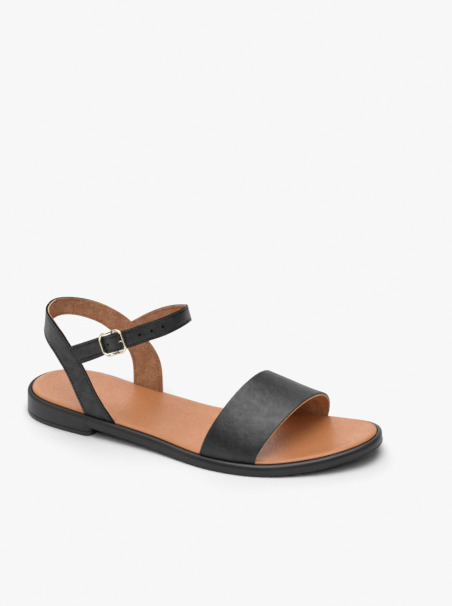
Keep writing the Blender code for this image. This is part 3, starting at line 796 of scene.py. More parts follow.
def buckle_matrix(along=0.0, out=0.0):
    """Takes a piece modelled in the buckle's directions to a place along and out from its middle."""
    middle = Matrix.Translation((np.array(BUCKLE_MIDDLE) + ROW_SHIFT) * MM)
    return middle @ turned_to(RUN, UP, OUT) @ Matrix.Translation((along * MM, 0, out * MM))


def row_at_buckle(along, up, out, half):
    """A row of a strap's two edges, half its width below and above a point by the buckle."""
    return [*at_buckle(along, up - half, out), *at_buckle(along, up + half, out)]


def ankle_strap_rows():
    half = ANKLE_WIDTH / 2
    rows = [list(row[1:]) for row in ANKLE_STRAP]
    rows += [row_at_buckle(*row[1:], half) for row in ANKLE_STRAP_IN_BUCKLE]
    lower_tip = at_buckle(TIP_LOWER_ALONG, TIP_UP - half, TIP_OUT)
    upper_tip = at_buckle(TIP_UPPER_ALONG, TIP_UP + half, TIP_OUT)
    return rows + [[*lower_tip, *upper_tip]]


def ankle_strap_grid(shares, spare=0.0):
    """The ankle strap's middle surface with its round tip: rows along it, columns across it."""
    grid = between(*strap_edges(ankle_strap_rows(), ANKLE_SECTIONS, (spare, spare)), shares)
    middle = grid[:, len(shares) // 2]
    along = walked(middle)
    to_end = np.clip((along - along[-1]) / TIP_ROUND_LENGTH + 1, 0.0, 1.0) ** 2
    reach = TIP_ROUND * to_end[:, None] * 4 * shares * (1 - shares)
    return grid + unit(np.gradient(middle, axis=0))[:, None] * reach[:, :, None]


def chape_rows():
    """Rows of the chape's two edges, from its root, round the middle bar and back on to itself."""
    run = list(CHAPE_RUN)
    for turn in np.radians(np.linspace(*EYE_TURN_DEG, EYE_SECTIONS)):
        run.append((EYE_MIDDLE_RADIUS * math.cos(turn), 0.0, BAR_OUT + EYE_MIDDLE_RADIUS * math.sin(turn)))
    run.append(CHAPE_END)
    return [row_at_buckle(*row, CHAPE_WIDTH / 2) for row in run]


def prong_heading():
    """Unit vector along, up and out from the middle bar to where the prong rests on the front bar."""
    rest_out = FRAME_END_OUT + FRAME_WIRE_RADIUS + GAP + PRONG_RADIUS + PRONG_PLAY
    return unit((FRAME_HALF_LENGTH, 0.0, rest_out - BAR_OUT))


def in_frame(points):
    """Millimetres of the tables to metres in the frame of the solids."""
    return (np.asarray(points, float) + ROW_SHIFT) * MM


def lay(piece, points):
    """Puts all of a piece's points in place, in their order."""
    points = in_frame(points).reshape(-1, 3)
    if len(points) != len(piece.data.vertices):
        raise ValueError(f"{piece.name} has {len(piece.data.vertices)} points, and {len(points)} were given")
    piece.data.vertices.foreach_set("co", points.astype(np.float32).ravel())
    piece.data.update()


def start_piece(name):
    """Names the piece in hand."""
    piece = bpy.context.object
    piece.name = name
    piece.data.name = name
    return piece


def new_piece(name, add, **settings):
    """Adds a piece by its operator, with nothing else selected, and names it."""
    bpy.ops.object.select_all(action="DESELECT")
    add(**settings)
    return start_piece(name)


def pick(*pieces):
    """Selects pieces and nothing else, with the first one in hand."""
    bpy.ops.object.select_all(action="DESELECT")
    for piece in pieces:
        piece.select_set(True)
    bpy.context.view_layer.objects.active = pieces[0]


@contextmanager
def editing(select="SELECT"):
    """Edit mode on the piece in hand, with all or none of it selected."""
    bpy.ops.object.mode_set(mode="EDIT")
    bpy.ops.mesh.select_all(action=select)
    yield
    bpy.ops.object.mode_set(mode="OBJECT")


def close_up(piece):
    """Merges what meets and turns every face outwards."""
    with editing():
        bpy.ops.mesh.remove_doubles(threshold=MERGE_DISTANCE * MM)
        bpy.ops.mesh.normals_make_consistent(inside=False)
    return piece


def raise_rings(name, rings):
    """A circle laid on the first ring and extruded from ring to ring, closed where its ends fold together."""
    piece = new_piece(name, bpy.ops.mesh.primitive_circle_add, vertices=len(rings[0]))
    lay(piece, rings[0])
    for count in range(2, len(rings) + 1):
        bpy.ops.object.mode_set(mode="EDIT")
        bpy.ops.mesh.extrude_region_move()
        bpy.ops.object.mode_set(mode="OBJECT")
        lay(piece, np.vstack(rings[:count]))
    return close_up(piece)


def lay_strip(name, grid, *materials):
    """A flat grid laid along a strap, rows along it and columns across it, with its materials."""
    rows, columns = grid.shape[:2]
    cuts = {"x_subdivisions": columns - 1, "y_subdivisions": rows - 1}
    piece = new_piece(name, bpy.ops.mesh.primitive_grid_add, **cuts)
    lay(piece, grid)
    for one in materials:
        piece.data.materials.append(one)
    return piece


def apply_all(piece):
    """Applies a piece's modifiers in order."""
    pick(piece)
    for modifier in list(piece.modifiers):
        bpy.ops.object.modifier_apply(modifier=modifier.name)


def thicken(piece, thickness, share=None, edge=0.0):
    """Gives a strip its thickness, with the rim as its second material, and rounds its edges."""
    wall = piece.modifiers.new("Thickness", "SOLIDIFY")
    wall.thickness = thickness * MM
    wall.offset = 0.0
    wall.material_offset_rim = 1
    if share is not None:
        group = piece.vertex_groups.new(name="thickness")
        for index, weight in enumerate(share):
            group.add([index], float(weight), "REPLACE")
        wall.vertex_group = group.name
    if edge:
        rounding = piece.modifiers.new("Rounded edge", "BEVEL")
        rounding.width = edge * MM
        rounding.segments = 3
        rounding.limit_method = "ANGLE"
        rounding.angle_limit = math.radians(STRAP_SMOOTH_DEG)
        rounding.material = min(1, len(piece.data.materials) - 1)
    apply_all(piece)
    return piece


def combine(body, operation, *others, folded=False):
    """Boolean of a body, which may be folded into itself, with other closed pieces, which go."""
    for other in others:
        modifier = body.modifiers.new(operation.title(), "BOOLEAN")
        modifier.operation = operation
        modifier.solver = "EXACT"
        modifier.use_self = folded
        modifier.material_mode = "TRANSFER" if other.data.materials else "INDEX"
        modifier.object = other
        apply_all(body)
        bpy.data.objects.remove(other)
    return body


def dress(piece, smooth_deg, slot, nodes, *materials):
    """Gives a piece its smooth shading and materials, puts it in its body and hides the solids that it stands
    for; its slot is not used.
    """
    pick(piece)
    bpy.ops.object.shade_smooth_by_angle(angle=math.radians(smooth_deg))
    for one in materials:
        piece.data.materials.append(one)
    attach(piece, "root")
    if nodes:
        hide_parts(*nodes)
    return piece


def strap_layer(name, grid, offset, finish, thickness, edge, share=None):
    """One layer of a strap: a strip laid off from the strap's middle surface, with its finish."""
    grid = grid + surface_normals(grid) * offset[:, :, None]
    return thicken(lay_strip(name, grid, *map(material, finish)), thickness, share, edge)


def dress_layer(strip, side, node):
    """Dresses a layer of a strap: side 1 is the leather outside and -1 the lining inside."""
    return dress(strip, STRAP_SMOOTH_DEG, "black leather" if side > 0 else None, (node,))


def add_node(tree, kind, values=None, links=None, **settings):
    """Adds a shader node with its settings, the values of its sockets and the links to them.

    A link comes from a socket, or from a node's first output that is in use.
    """
    node = tree.nodes.new(f"ShaderNode{kind}")
    for setting, value in settings.items():
        setattr(node, setting, value)
    for socket, value in (values or {}).items():
        node.inputs[socket].default_value = value
    for socket, source in (links or {}).items():
        if isinstance(source, bpy.types.Node):
            source = next(output for output in source.outputs if output.enabled)
        tree.links.new(source, node.inputs[socket])
    return node


def rgba(shade):
    return (*shade, 1.0)


def two_toned(add, pattern, first, second, low=0.0, high=1.0):
    """A colour that goes from one tone to another as a pattern goes from low to high."""
    share = add("MapRange", {"From Min": low, "From Max": high}, {"Value": pattern})
    return add("Mix", {MIX_A: rgba(first), MIX_B: rgba(second)}, {"Factor": share}, data_type="RGBA")


def black_calf(add, place, colours):
    """Finished calf leather: a smooth black skin with broad soft gloss, faint clouds and a fine grain."""
    cloud = add("TexNoise", {"Scale": cells(6.0), "Detail": 7.0, "Roughness": 0.7}, {"Vector": place})
    shade = two_toned(add, cloud, colours.calf, colours.calf_pale, 0.32, 0.68)
    gloss_range = {"From Min": 0.3, "From Max": 0.7, "To Min": 0.52, "To Max": 0.32}
    gloss = add("MapRange", gloss_range, {"Value": cloud})
    polish = add("TexNoise", {"Scale": cells(5.0), "Detail": 8.0, "Roughness": 0.75}, {"Vector": place})
    shine_range = {"From Min": 0.33, "From Max": 0.67, "To Min": 0.38, "To Max": 0.72}
    shine = add("MapRange", shine_range, {"Value": polish})
    # Calf grain is 0.2 mm wide: it is drawn at 0.9 mm so that it shows
    grain = add("TexVoronoi", {"Scale": cells(0.9), "Randomness": 1.0}, {"Vector": place}, feature="F1")
    fine = add("Bump", {"Strength": 0.5, "Distance": 0.1 * MM}, {"Height": grain})
    soft = add("Bump", {"Strength": 1.0, "Distance": 0.5 * MM}, {"Height": cloud, "Normal": fine})
    return (
        {"IOR": 1.5, "Coat Weight": 0.2, "Coat Roughness": 0.34},
        {"Base Color": shade, "Roughness": gloss, "Specular IOR Level": shine, "Normal": soft},
    )


def tan_suede(add, place, colours):
    """Split leather with its nap up: matt, brushed in clouds, with short fibres that catch the light."""
    brushed = add("TexNoise", {"Scale": cells(7.0), "Detail": 3.0, "Roughness": 0.6}, {"Vector": place})
    # Nap fibres are 0.1 mm thick: they are drawn at 1 mm so that they show
    nap = add("TexNoise", {"Scale": cells(1.0), "Detail": 3.0, "Roughness": 0.7}, {"Vector": place})
    mixed = add("Mix", {"Factor": 0.6}, {"A": brushed, "B": nap}, data_type="FLOAT")
    shade = two_toned(add, mixed, colours.suede, colours.suede_pale, 0.42, 0.6)
    fibres = add("Bump", {"Strength": 0.6, "Distance": 0.25 * MM}, {"Height": nap})
    values = {"IOR": 1.45, "Specular IOR Level": 0.2, "Roughness": 0.92, "Sheen Weight": 0.25}
    values.update({"Sheen Roughness": 0.5, "Sheen Tint": rgba(colours.suede_pale)})
    return values, {"Base Color": shade, "Normal": fibres}


def edge_ink_and_shade(add, place, colours):
    """Ink on the black leather's cut edge: matt, darker than the leather's face, over its fibres; the darker
    line is also painted shade along the straps' edges, and on the punched holes' walls and floors it is
    painted shade deep in the holes.
    """
    fibre = add("TexNoise", {"Scale": cells(0.8), "Detail": 3.0, "Roughness": 0.7}, {"Vector": place})
    shade = two_toned(add, fibre, colours.thread, colours.calf)
    return {"IOR": 1.45, "Specular IOR Level": 0.1, "Roughness": 0.8}, {"Base Color": shade}


def cut_leather_edge(add, place, colours):
    """The lining's raw cut edge: pale, dry fibres in uneven rows."""
    fibre = add("TexNoise", {"Scale": cells(0.7), "Detail": 3.0, "Roughness": 0.7}, {"Vector": place})
    shade = two_toned(add, fibre, colours.suede_pale, colours.cut_edge, 0.25, 0.5)
    rough = add("Bump", {"Strength": 0.3, "Distance": 0.1 * MM}, {"Height": fibre})
    values = {"IOR": 1.45, "Specular IOR Level": 0.25, "Roughness": 0.85}
    return values, {"Base Color": shade, "Normal": rough}


def tan_insole_leather(add, place, colours):
    """Smooth drum-dyed leather over foam: even tan, a low soft gloss and fine pores."""
    cloud = add("TexNoise", {"Scale": cells(22.0), "Detail": 4.0, "Roughness": 0.55}, {"Vector": place})
    shade = two_toned(add, cloud, colours.tan, colours.tan_pale, 0.35, 0.65)
    # Pores are 0.15 mm wide: they are drawn at 1.6 mm so that they show, and the wax is thick round them
    pores = add("TexVoronoi", {"Scale": cells(1.6), "Randomness": 1.0}, {"Vector": place}, feature="F1")
    wax_range = {"From Min": 0.15, "From Max": 0.7, "To Min": 0.0, "To Max": 0.65}
    wax = add("MapRange", wax_range, {"Value": pores})
    fine = add("Bump", {"Strength": 0.6, "Distance": 0.2 * MM}, {"Height": pores})
    gloss_range = {"From Min": 0.3, "From Max": 0.7, "To Min": 0.58, "To Max": 0.5}
    gloss = add("MapRange", gloss_range, {"Value": cloud})
    links = {"Base Color": shade, "Roughness": gloss, "Normal": fine}
    return {"IOR": 1.5, "Coat Roughness": 0.28}, {**links, "Coat Weight": wax, "Coat Normal": fine}


def black_sole_rubber(add, place, colours):
    """Moulded thermoplastic rubber: matt black with a dusty bloom and the fine grit of a blasted mould."""
    bloom = add("TexNoise", {"Scale": cells(14.0), "Detail": 5.0, "Roughness": 0.6}, {"Vector": place})
    shade = two_toned(add, bloom, colours.rubber, colours.rubber_pale, 0.35, 0.7)
    # Mould grit is 0.1 mm: it is drawn at 0.5 mm so that it shows
    grit = add("TexNoise", {"Scale": cells(0.5), "Detail": 2.0, "Roughness": 0.6}, {"Vector": place})
    fine = add("Bump", {"Strength": 0.14, "Distance": 0.05 * MM}, {"Height": grit})
    gloss_range = {"From Min": 0.3, "From Max": 0.7, "To Min": 0.27, "To Max": 0.38}
    gloss = add("MapRange", gloss_range, {"Value": bloom})
    # The top of the lip is worn duller at the heel than at the ball
    along = add("SeparateXYZ", links={"Vector": place}).outputs["X"]
    wear_range = {"From Min": -80 * MM, "From Max": 10 * MM, "To Min": 0.4, "To Max": 0.0}
    heelward = add("MapRange", wear_range, {"Value": along})
    facing = add("SeparateXYZ", links={"Vector": add("NewGeometry").outputs["Normal"]}).outputs["Z"]
    upward = add("MapRange", {"From Min": 0.2, "From Max": 0.7}, {"Value": facing})
    dull = add("Math", links={0: heelward, 1: upward}, operation="MULTIPLY")
    finish = add("Math", links={0: gloss, 1: dull}, operation="ADD")
    links = {"Base Color": shade, "Roughness": finish, "Normal": fine}
    return {"IOR": 1.5, "Specular IOR Level": 0.5}, links


def pale_gold_plate(add, place, colours):
    """Polished pale gold plating on die-cast zinc: bright, with faint tumbling marks."""
    marks = add("TexNoise", {"Scale": cells(1.6), "Detail": 4.0, "Roughness": 0.6}, {"Vector": place})
    gloss_range = {"From Min": 0.3, "From Max": 0.7, "To Min": 0.16, "To Max": 0.28}
    gloss = add("MapRange", gloss_range, {"Value": marks})
    dents = add("Bump", {"Strength": 0.08, "Distance": 0.05 * MM}, {"Height": marks})
    return {"Metallic": 1.0, "Base Color": rgba(colours.gold)}, {"Roughness": gloss, "Normal": dents}


def sewing_thread(add, place, first, second):
    """Bonded polyester thread: matt, with plies of two tones where they cross."""
    ply = add("TexNoise", {"Scale": cells(0.4), "Detail": 2.0}, {"Vector": place})
    values = {"IOR": 1.5, "Roughness": 0.8, "Specular IOR Level": 0.2}
    return values, {"Base Color": two_toned(add, ply, first, second)}


def top_thread(add, place, colours):
    """The thread outside: near black on the black leather."""
    return sewing_thread(add, place, colours.thread, colours.calf)


def bobbin_thread(add, place, colours):
    """The thread inside: brown on the suede."""
    return sewing_thread(add, place, colours.bobbin, colours.suede)


def studio_paper(add, place, colours):
    """Matt white paper sweep."""
    values = {"IOR": 1.45, "Specular IOR Level": 0.1, "Roughness": 0.9}
    return {**values, "Base Color": rgba(colours.floor)}, {}


MATERIALS = {
    "black calf leather": black_calf,
    "tan suede": tan_suede,
    "black edge ink and painted shade": edge_ink_and_shade,
    "cut leather edge": cut_leather_edge,
    "tan insole leather": tan_insole_leather,
    "black moulded rubber": black_sole_rubber,
    "pale gold plate": pale_gold_plate,
    "black sewing thread": top_thread,
    "brown sewing thread": bobbin_thread,
    "white paper": studio_paper,
}


def material(name):
    """The material of that name, made at its first use."""
    if name in bpy.data.materials:
        return bpy.data.materials[name]
    made = bpy.data.materials.new(name)
    made.use_nodes = True
    made.node_tree.nodes.clear()
    add = partial(add_node, made.node_tree)
    place = add("TexCoord").outputs["Object"]
    values, links = MATERIALS[name](add, place, bpy.context.scene.sandal_colours)
    add("OutputMaterial", links={"Surface": add("BsdfPrincipled", values, links)})
    return made


def stitches_on(line, normals, stops, lift):
    """Point, run and normal of the stitches at stops along a line, lifted to one face of a strap."""
    distance = walked(line)
    fields = (line, np.gradient(line, axis=0), normals)
    points, run, facing = (sampled(stops, distance, field) for field in fields)
    return [(p + n * lift, t, n if lift > 0 else -n) for p, t, n in zip(points, unit(run), unit(facing))]


def seam_along(a, b, inset, lift, pitch, keep):
    """Stitches along a strap, set in from its first edge."""
    normals = surface_normals(between(a, b, (0.0, 0.5, 1.0)))[:, 1]
    line = a + unit(b - a) * inset
    start, end = np.array(keep) * walked(line)[-1]
    return stitches_on(line, normals, np.arange(start, end, pitch), lift)


def seam_across_tip(inset, lift, pitch):
    """Stitches along the ankle strap's round end."""
    shares = np.linspace(0.0, 1.0, TIP_COLUMNS)
    grid = ankle_strap_grid(shares)
    back = unit(grid[-4] - grid[-1])
    keep = (shares > inset / ANKLE_WIDTH) & (shares < 1 - inset / ANKLE_WIDTH)
    line = (grid[-1] + back * inset)[keep]
    stops = np.arange(pitch / 2, walked(line)[-1], pitch)
    return stitches_on(line, surface_normals(grid)[-1][keep], stops, lift)


def sew(name, places, sizes, thread):
    """One stitch modelled from a ball, copied to each place and joined as one seam."""
    ball = {"segments": 6, "ring_count": 4, "radius": 0.5}
    stitch = new_piece(name, bpy.ops.mesh.primitive_uv_sphere_add, **ball)
    with editing():
        flat = sizes.thread * STITCH_FLATNESS
        bpy.ops.transform.resize(value=(sizes.stitch_length, sizes.thread, flat))
    lean = Matrix.Rotation(math.radians(STITCH_LEAN_DEG), 4, "Z")
    copies = []
    for point, run, normal in places:
        side = unit(np.cross(normal, run))
        turn = turned_to(np.cross(side, normal), side, normal)
        copy = stitch.copy()
        copy.data = stitch.data.copy()
        copy.data.transform(Matrix.Translation(in_frame(point)) @ turn @ lean)
        bpy.context.scene.collection.objects.link(copy)
        copies.append(copy)
    bpy.data.objects.remove(stitch)
    pick(*copies)
    bpy.ops.object.join()
    dress(start_piece(name), THREAD_SMOOTH_DEG, None, (), thread)


def seam_trough(width, shares, inset):
    """Depth of the pull of the two seams across a strap."""
    from_edge = np.minimum(shares, 1 - shares) * width
    return TROUGH_DEPTH * np.exp(-(((from_edge - inset) / TROUGH_HALF_WIDTH) ** 2))


def crease(offset, rows, along, shares, amount):
    """Presses soft creases into the offsets of a strap's surface."""
    for place, slant, depth, half in rows:
        far = (along[:, None] - place - slant * (2 * shares[None] - 1)) / half
        offset -= amount * depth * np.exp(-(far**2))


def light_tent():
    """A white light tent: even cloth all round, brighter under its lamps and darker at its open front."""
    world = bpy.data.worlds.new("light tent")
    world.use_nodes = True
    add = partial(add_node, world.node_tree)
    towards = add("TexCoord").outputs["Generated"]
    total, cloth = None, TENT_CLOTH
    for _, direction, full, none, radiance in TENT:
        middle = {1: Vector(direction).normalized()}
        facing = add("VectorMath", middle, {0: towards}, operation="DOT_PRODUCT")
        fade = {"From Min": math.cos(math.radians(none)), "From Max": math.cos(math.radians(full))}
        fade.update({"To Min": cloth, "To Max": radiance + cloth})
        glow = add("MapRange", fade, {"Value": facing}, interpolation_type="SMOOTHSTEP")
        total = add("Math", links={0: total, 1: glow}, operation="ADD") if total else glow
        cloth = 0.0
    backdrop = world.node_tree.nodes["Background"]
    backdrop.inputs["Color"].default_value = rgba((1.0, 1.0, 1.0))
    world.node_tree.links.new(total.outputs[0], backdrop.inputs["Strength"])
    return world


class SANDAL_OT_sole(bpy.types.Operator):
    """Sole unit with its lip, groove and low heel, and the heel's top lift"""

    bl_idname = "sandal.sole"
    bl_label = "Sole and heel"

    def execute(self, context):
        rubber = material("black moulded rubber")
        turn = np.interp(OUTLINE[:, 0], LIP_TURN, (0.0, 1.0))
        sides = [sole_ring(out, heel + (ball - heel) * turn) for _, out, ball, heel in SOLE_SIDE]
        tray = rings_to_spine(sides[0], FROM_SPINE, SPINE_ENDS, above_underside(SOLE_SIDE[0][2]))
        field = rings_to_spine(sides[-1], FIELD_STEPS, SPINE_ENDS, above_underside(SOLE_SIDE[-1][2]))
        sole = raise_rings("sole_unit", tray + sides + field)
        wall = [level_heel_ring(out, height) for _, out, height in HEEL_WALL]
        bottom = rings_to_spine(wall[0], HEEL_BOTTOM_STEPS, HEEL_SPINE_ENDS, level(HEEL_WALL[0][2]))
        wall += [heel_ring_in_sole(*row[1:]) for row in HEEL_SIDE]
        core = rings_to_spine(wall[-1], TO_SPINE, HEEL_SPINE_ENDS, above_underside(HEEL_CORE_UP))
        combine(sole, "UNION", raise_rings("heel_block", bottom + wall + core))
        dress(sole, SOLE_SMOOTH_DEG, "black rubber", ("outsole",), rubber)
        wall = [level_heel_ring(out, height) for _, out, height in TOP_LIFT_SIDE]
        low = rings_to_spine(wall[0], FROM_SPINE, HEEL_SPINE_ENDS, level(TOP_LIFT_SIDE[0][2]))
        high = rings_to_spine(wall[-1], TO_SPINE, HEEL_SPINE_ENDS, level(TOP_LIFT_SIDE[-1][2]))
        lift = raise_rings("top_lift", low + wall + high)
        dress(lift, SOLE_SMOOTH_DEG, "black rubber", ("heel_top_lift",), rubber)
        return {"FINISHED"}


class SANDAL_OT_insole(bpy.types.Operator):
    """Padded insole with its rolled edge and the slots that the straps go into"""

    bl_idname = "sandal.insole"
    bl_label = "Insole"

    def execute(self, context):
        rings = [sole_ring(out, up) for _, out, up in INSOLE_SIDE]
        base = rings_to_spine(rings[0], FROM_SPINE, SPINE_ENDS, above_underside(INSOLE_SIDE[0][2]))
        top = rings_to_spine(rings[-1], BED_STEPS, SPINE_ENDS, insole_bed)
        insole = raise_rings("padded_insole", base + rings + top)
        slots = []
        for place, spare in SLOT_SPARE.items():
            slot, lip = (np.array(row) for row in foot_rows(place))
            reach = (lip - slot) * SLOT_REACH
            edges = strap_edges([slot - reach, slot, lip, lip + reach], SLOT_SECTIONS, (GAP, spare))
            slots.append(between(*edges, (0.0, 0.5, 1.0)))
        spare = GAP / TOE_STRAP_WIDTH
        turns = np.linspace(0, math.pi, TOE_SLOT_SECTIONS)
        band = toe_strap_grid(turns, np.linspace(-spare, 1 + spare, TOE_SLOT_COLUMNS))
        band[[0, -1], :, 2] -= TOE_SLOT_DEEPER
        slots += [band[:TOE_SLOT_ROWS], band[-TOE_SLOT_ROWS:]]
        cutters = [thicken(lay_strip("slot", grid), STRAP_WALL + 2 * GAP) for grid in slots]
        combine(insole, "DIFFERENCE", *cutters)
        dress(insole, INSOLE_SMOOTH_DEG, "tan leather", ("insole",), material("tan insole leather"))
        return {"FINISHED"}


class SANDAL_OT_toe_strap(bpy.types.Operator):
    """Wide toe strap: black leather outside, suede lining inside with its cut edge showing"""

    bl_idname = "sandal.toe_strap"
    bl_label = "Toe strap"

    def execute(self, context):
        sizes = context.scene.sandal_sizes
        turns = np.linspace(0, math.pi, TOE_SECTIONS)
        round_foot = np.concatenate([[0.0], turns / math.pi, [1.0]])[:, None]
        stand_out = sizes.lining_edge / MM / 2 / TOE_STRAP_WIDTH
        for name, thickness, side, finish in (
            ("toe_strap_leather", sizes.leather / MM, 1, ("black calf leather",)),
            ("toe_strap_lining", sizes.lining / MM, -1, ("tan suede", "cut leather edge")),
        ):
            shares = np.linspace(side * stand_out, 1 - side * stand_out, TOE_COLUMNS)
            grid = toe_strap_grid(turns, shares)
            offset = np.full(grid.shape[:2], side * (STRAP_WALL - thickness) / 2)
            for turn, share, depth, half_turn, half_share in TOE_HOLLOWS:
                far = ((round_foot - turn) / half_turn) ** 2 + ((shares - share) / half_share)[None] ** 2
                offset -= sizes.crease * depth * np.exp(-far)
            strip = strap_layer(name, grid, offset, finish, thickness, TOE_STRAP_EDGE_ROUND)
            dress_layer(strip, side, "toe_strap")
        return {"FINISHED"}


class SANDAL_OT_back_strap(bpy.types.Operator):
    """Back strap round the heel, lined with suede"""

    bl_idname = "sandal.back_strap"
    bl_label = "Back strap"

    def execute(self, context):
        sizes = context.scene.sandal_sizes
        inset = sizes.stitch_inset / MM
        shares = strap_columns(BACK_STRAP_WIDTH, inset)
        trough = seam_trough(BACK_STRAP_WIDTH, shares, inset)
        inside = spare_along(LINING_SPARE, BACK_SECTIONS)
        # The leather's rim takes the black edge ink: real edge ink, darker than the face as painted shade
        # along the edges
        for name, thickness, side, spare, finish in (
            ("back_strap_leather", sizes.leather / MM, 1, (0, 0), ("black calf leather", "black edge ink and painted shade")),
            ("back_strap_lining", sizes.lining / MM, -1, inside, ("tan suede", "cut leather edge")),
        ):
            grid = between(*strap_edges(back_strap_rows(), BACK_SECTIONS, spare), shares)
            along = walked(grid[:, len(shares) // 2])
            offset = np.full(grid.shape[:2], side * (STRAP_WALL - thickness) / 2) - side * trough[None]
            rows = [(share * along[-1], *rest) for share, *rest in BACK_CREASES]
            crease(offset, rows, along, shares, sizes.crease)
            strip = strap_layer(name, grid, offset, finish, thickness, BACK_STRAP_EDGE_ROUND)
            if side < 0:
                self.cover_edge(strip)
            dress_layer(strip, side, "back_and_ankle_strap")
        return {"FINISHED"}

    def cover_edge(self, strip):
        """Leaves the cut edge bare only round the heel and where the lateral foot goes into the insole."""
        for polygon in strip.data.polygons:
            x, y, z = np.array(polygon.center) / MM - ROW_SHIFT
            at_foot = y < 0 and z < BARE_BELOW_Z
            at_heel = x < BARE_BEHIND_XY[0] and y < BARE_BEHIND_XY[1]
            if not (at_foot or at_heel):
                polygon.material_index = 0


class SANDAL_OT_ankle_strap(bpy.types.Operator):
    """Ankle strap with its punched holes, and the chape that holds the buckle"""

    bl_idname = "sandal.ankle_strap"
    bl_label = "Ankle strap"

    def execute(self, context):
        sizes = context.scene.sandal_sizes
        inset, thickness = sizes.stitch_inset / MM, ANKLE_WALL / 2
        shares = strap_columns(ANKLE_WIDTH, inset)
        trough = seam_trough(ANKLE_WIDTH, shares, inset)
        (set_in,) = spare_along(ANKLE_LINING_SPARE, ANKLE_SECTIONS)
        # The leather's rim takes the black edge ink: real edge ink, darker than the face as painted shade
        # along the edges
        for name, side, spare, finish in (
            ("ankle_strap_leather", 1, 0.0, ("black calf leather", "black edge ink and painted shade")),
            ("ankle_strap_lining", -1, set_in, ("tan suede",)),
        ):
            grid = ankle_strap_grid(shares, spare)
            middle, outward = (field[:, len(shares) // 2] for field in (grid, surface_normals(grid)))
            along = walked(middle)
            to_bar = np.linalg.norm(middle - at_buckle(0, 0, OVER_BAR_OUT), axis=1)
            from_bar = along[np.argmin(to_bar)] - along
            # The root is pared thin where it goes between the back strap's leather and lining
            full = eased(np.clip((along - PARED_UP_TO) / PARED_RUN, 0.0, 1.0))
            pared = PARED_SHARE + (1 - PARED_SHARE) * full
            offset = np.full(grid.shape[:2], side * thickness / 2) - side * trough[None]
            crease(offset, ANKLE_CREASES, from_bar, shares, sizes.crease)
            offset *= pared[:, None]
            weights = np.repeat(pared, len(shares))
            wall = thickness - LAYER_PLAY
            strip = strap_layer(name, grid, offset, finish, wall, ANKLE_EDGE_ROUND, weights)
            combine(strip, "DIFFERENCE", *self.punches(middle, outward, from_bar, side))
            dress_layer(strip, side, "back_and_ankle_strap")
        self.chape(inset)
        return {"FINISHED"}

    def punches(self, middle, outward, from_bar, side):
        """Round punches: the spare holes from either face, closed between them by a dark floor that is
        painted shade deep in each hole, and the prong's own hole.
        """
        rows = []
        for place in HOLES_ALONG:
            i = np.argmin(np.abs(from_bar - place))
            start = middle[i] + outward[i] * side * (HOLE_SHADE_WEB + PUNCH_DEPTH / 2)
            rows.append((start, outward[i], HOLE_RADIUS, PUNCH_DEPTH))
        along, up, out = prong_heading()
        heading = RUN * along + UP * up + OUT * out
        start = at_buckle(0, 0, BAR_OUT) + heading * (PRONG_PUNCH_FROM + PRONG_LENGTH) / 2
        radius = PRONG_HOLE_RADIUS if side > 0 else PRONG_RADIUS + PRONG_PLAY
        rows.append((start, heading, radius, PRONG_LENGTH - PRONG_PUNCH_FROM))
        punches = []
        for start, direction, radius, depth in rows:
            turn = Vector(direction).to_track_quat("Z", "Y").to_euler()
            sizes = {"vertices": 20, "radius": radius * MM, "depth": depth * MM}
            place = {"location": in_frame(start), "rotation": turn}
            punches.append(new_piece("punch", bpy.ops.mesh.primitive_cylinder_add, **sizes, **place))
            # The punches' black ink goes on the holes' walls and on their floors, where it is painted shade
            punches[-1].data.materials.append(material("black edge ink and painted shade"))
        return punches

    def chape(self, inset):
        """Short strap folded round the middle bar, with the prong's slot cut in its fold."""
        shares = strap_columns(CHAPE_WIDTH, inset)
        grid = between(*strap_edges(chape_rows(), CHAPE_SECTIONS), shares)
        along = walked(grid[:, 0])
        thin, root = (np.interp(along, ends, (0.0, 1.0)) for ends in (CHAPE_THINNED, CHAPE_PARED))
        wall = (CHAPE_WALL + (EYE_WALL - CHAPE_WALL) * thin) / CHAPE_WALL
        wall *= CHAPE_PARED_SHARE + (1 - CHAPE_PARED_SHARE) * root
        # The chape's rim takes the black edge ink: real edge ink, darker than the face as painted shade along
        # the edges
        strip = lay_strip("chape", grid, material("black calf leather"), material("black edge ink and painted shade"))
        thicken(strip, CHAPE_WALL, np.repeat(wall, len(shares)), CHAPE_EDGE_ROUND)
        slot = new_piece("prong_slot", bpy.ops.mesh.primitive_cube_add, size=1)
        with editing():
            bpy.ops.transform.resize(value=np.array(PRONG_SLOT) * MM)
            bpy.ops.mesh.bevel(offset=PRONG_SLOT_ROUND * MM, segments=2, affect="EDGES")
        slot.data.transform(buckle_matrix(-PRONG_SLOT_BACK, BAR_OUT))
        combine(strip, "DIFFERENCE", slot, folded=True)
        dress_layer(strip, 1, "back_and_ankle_strap")


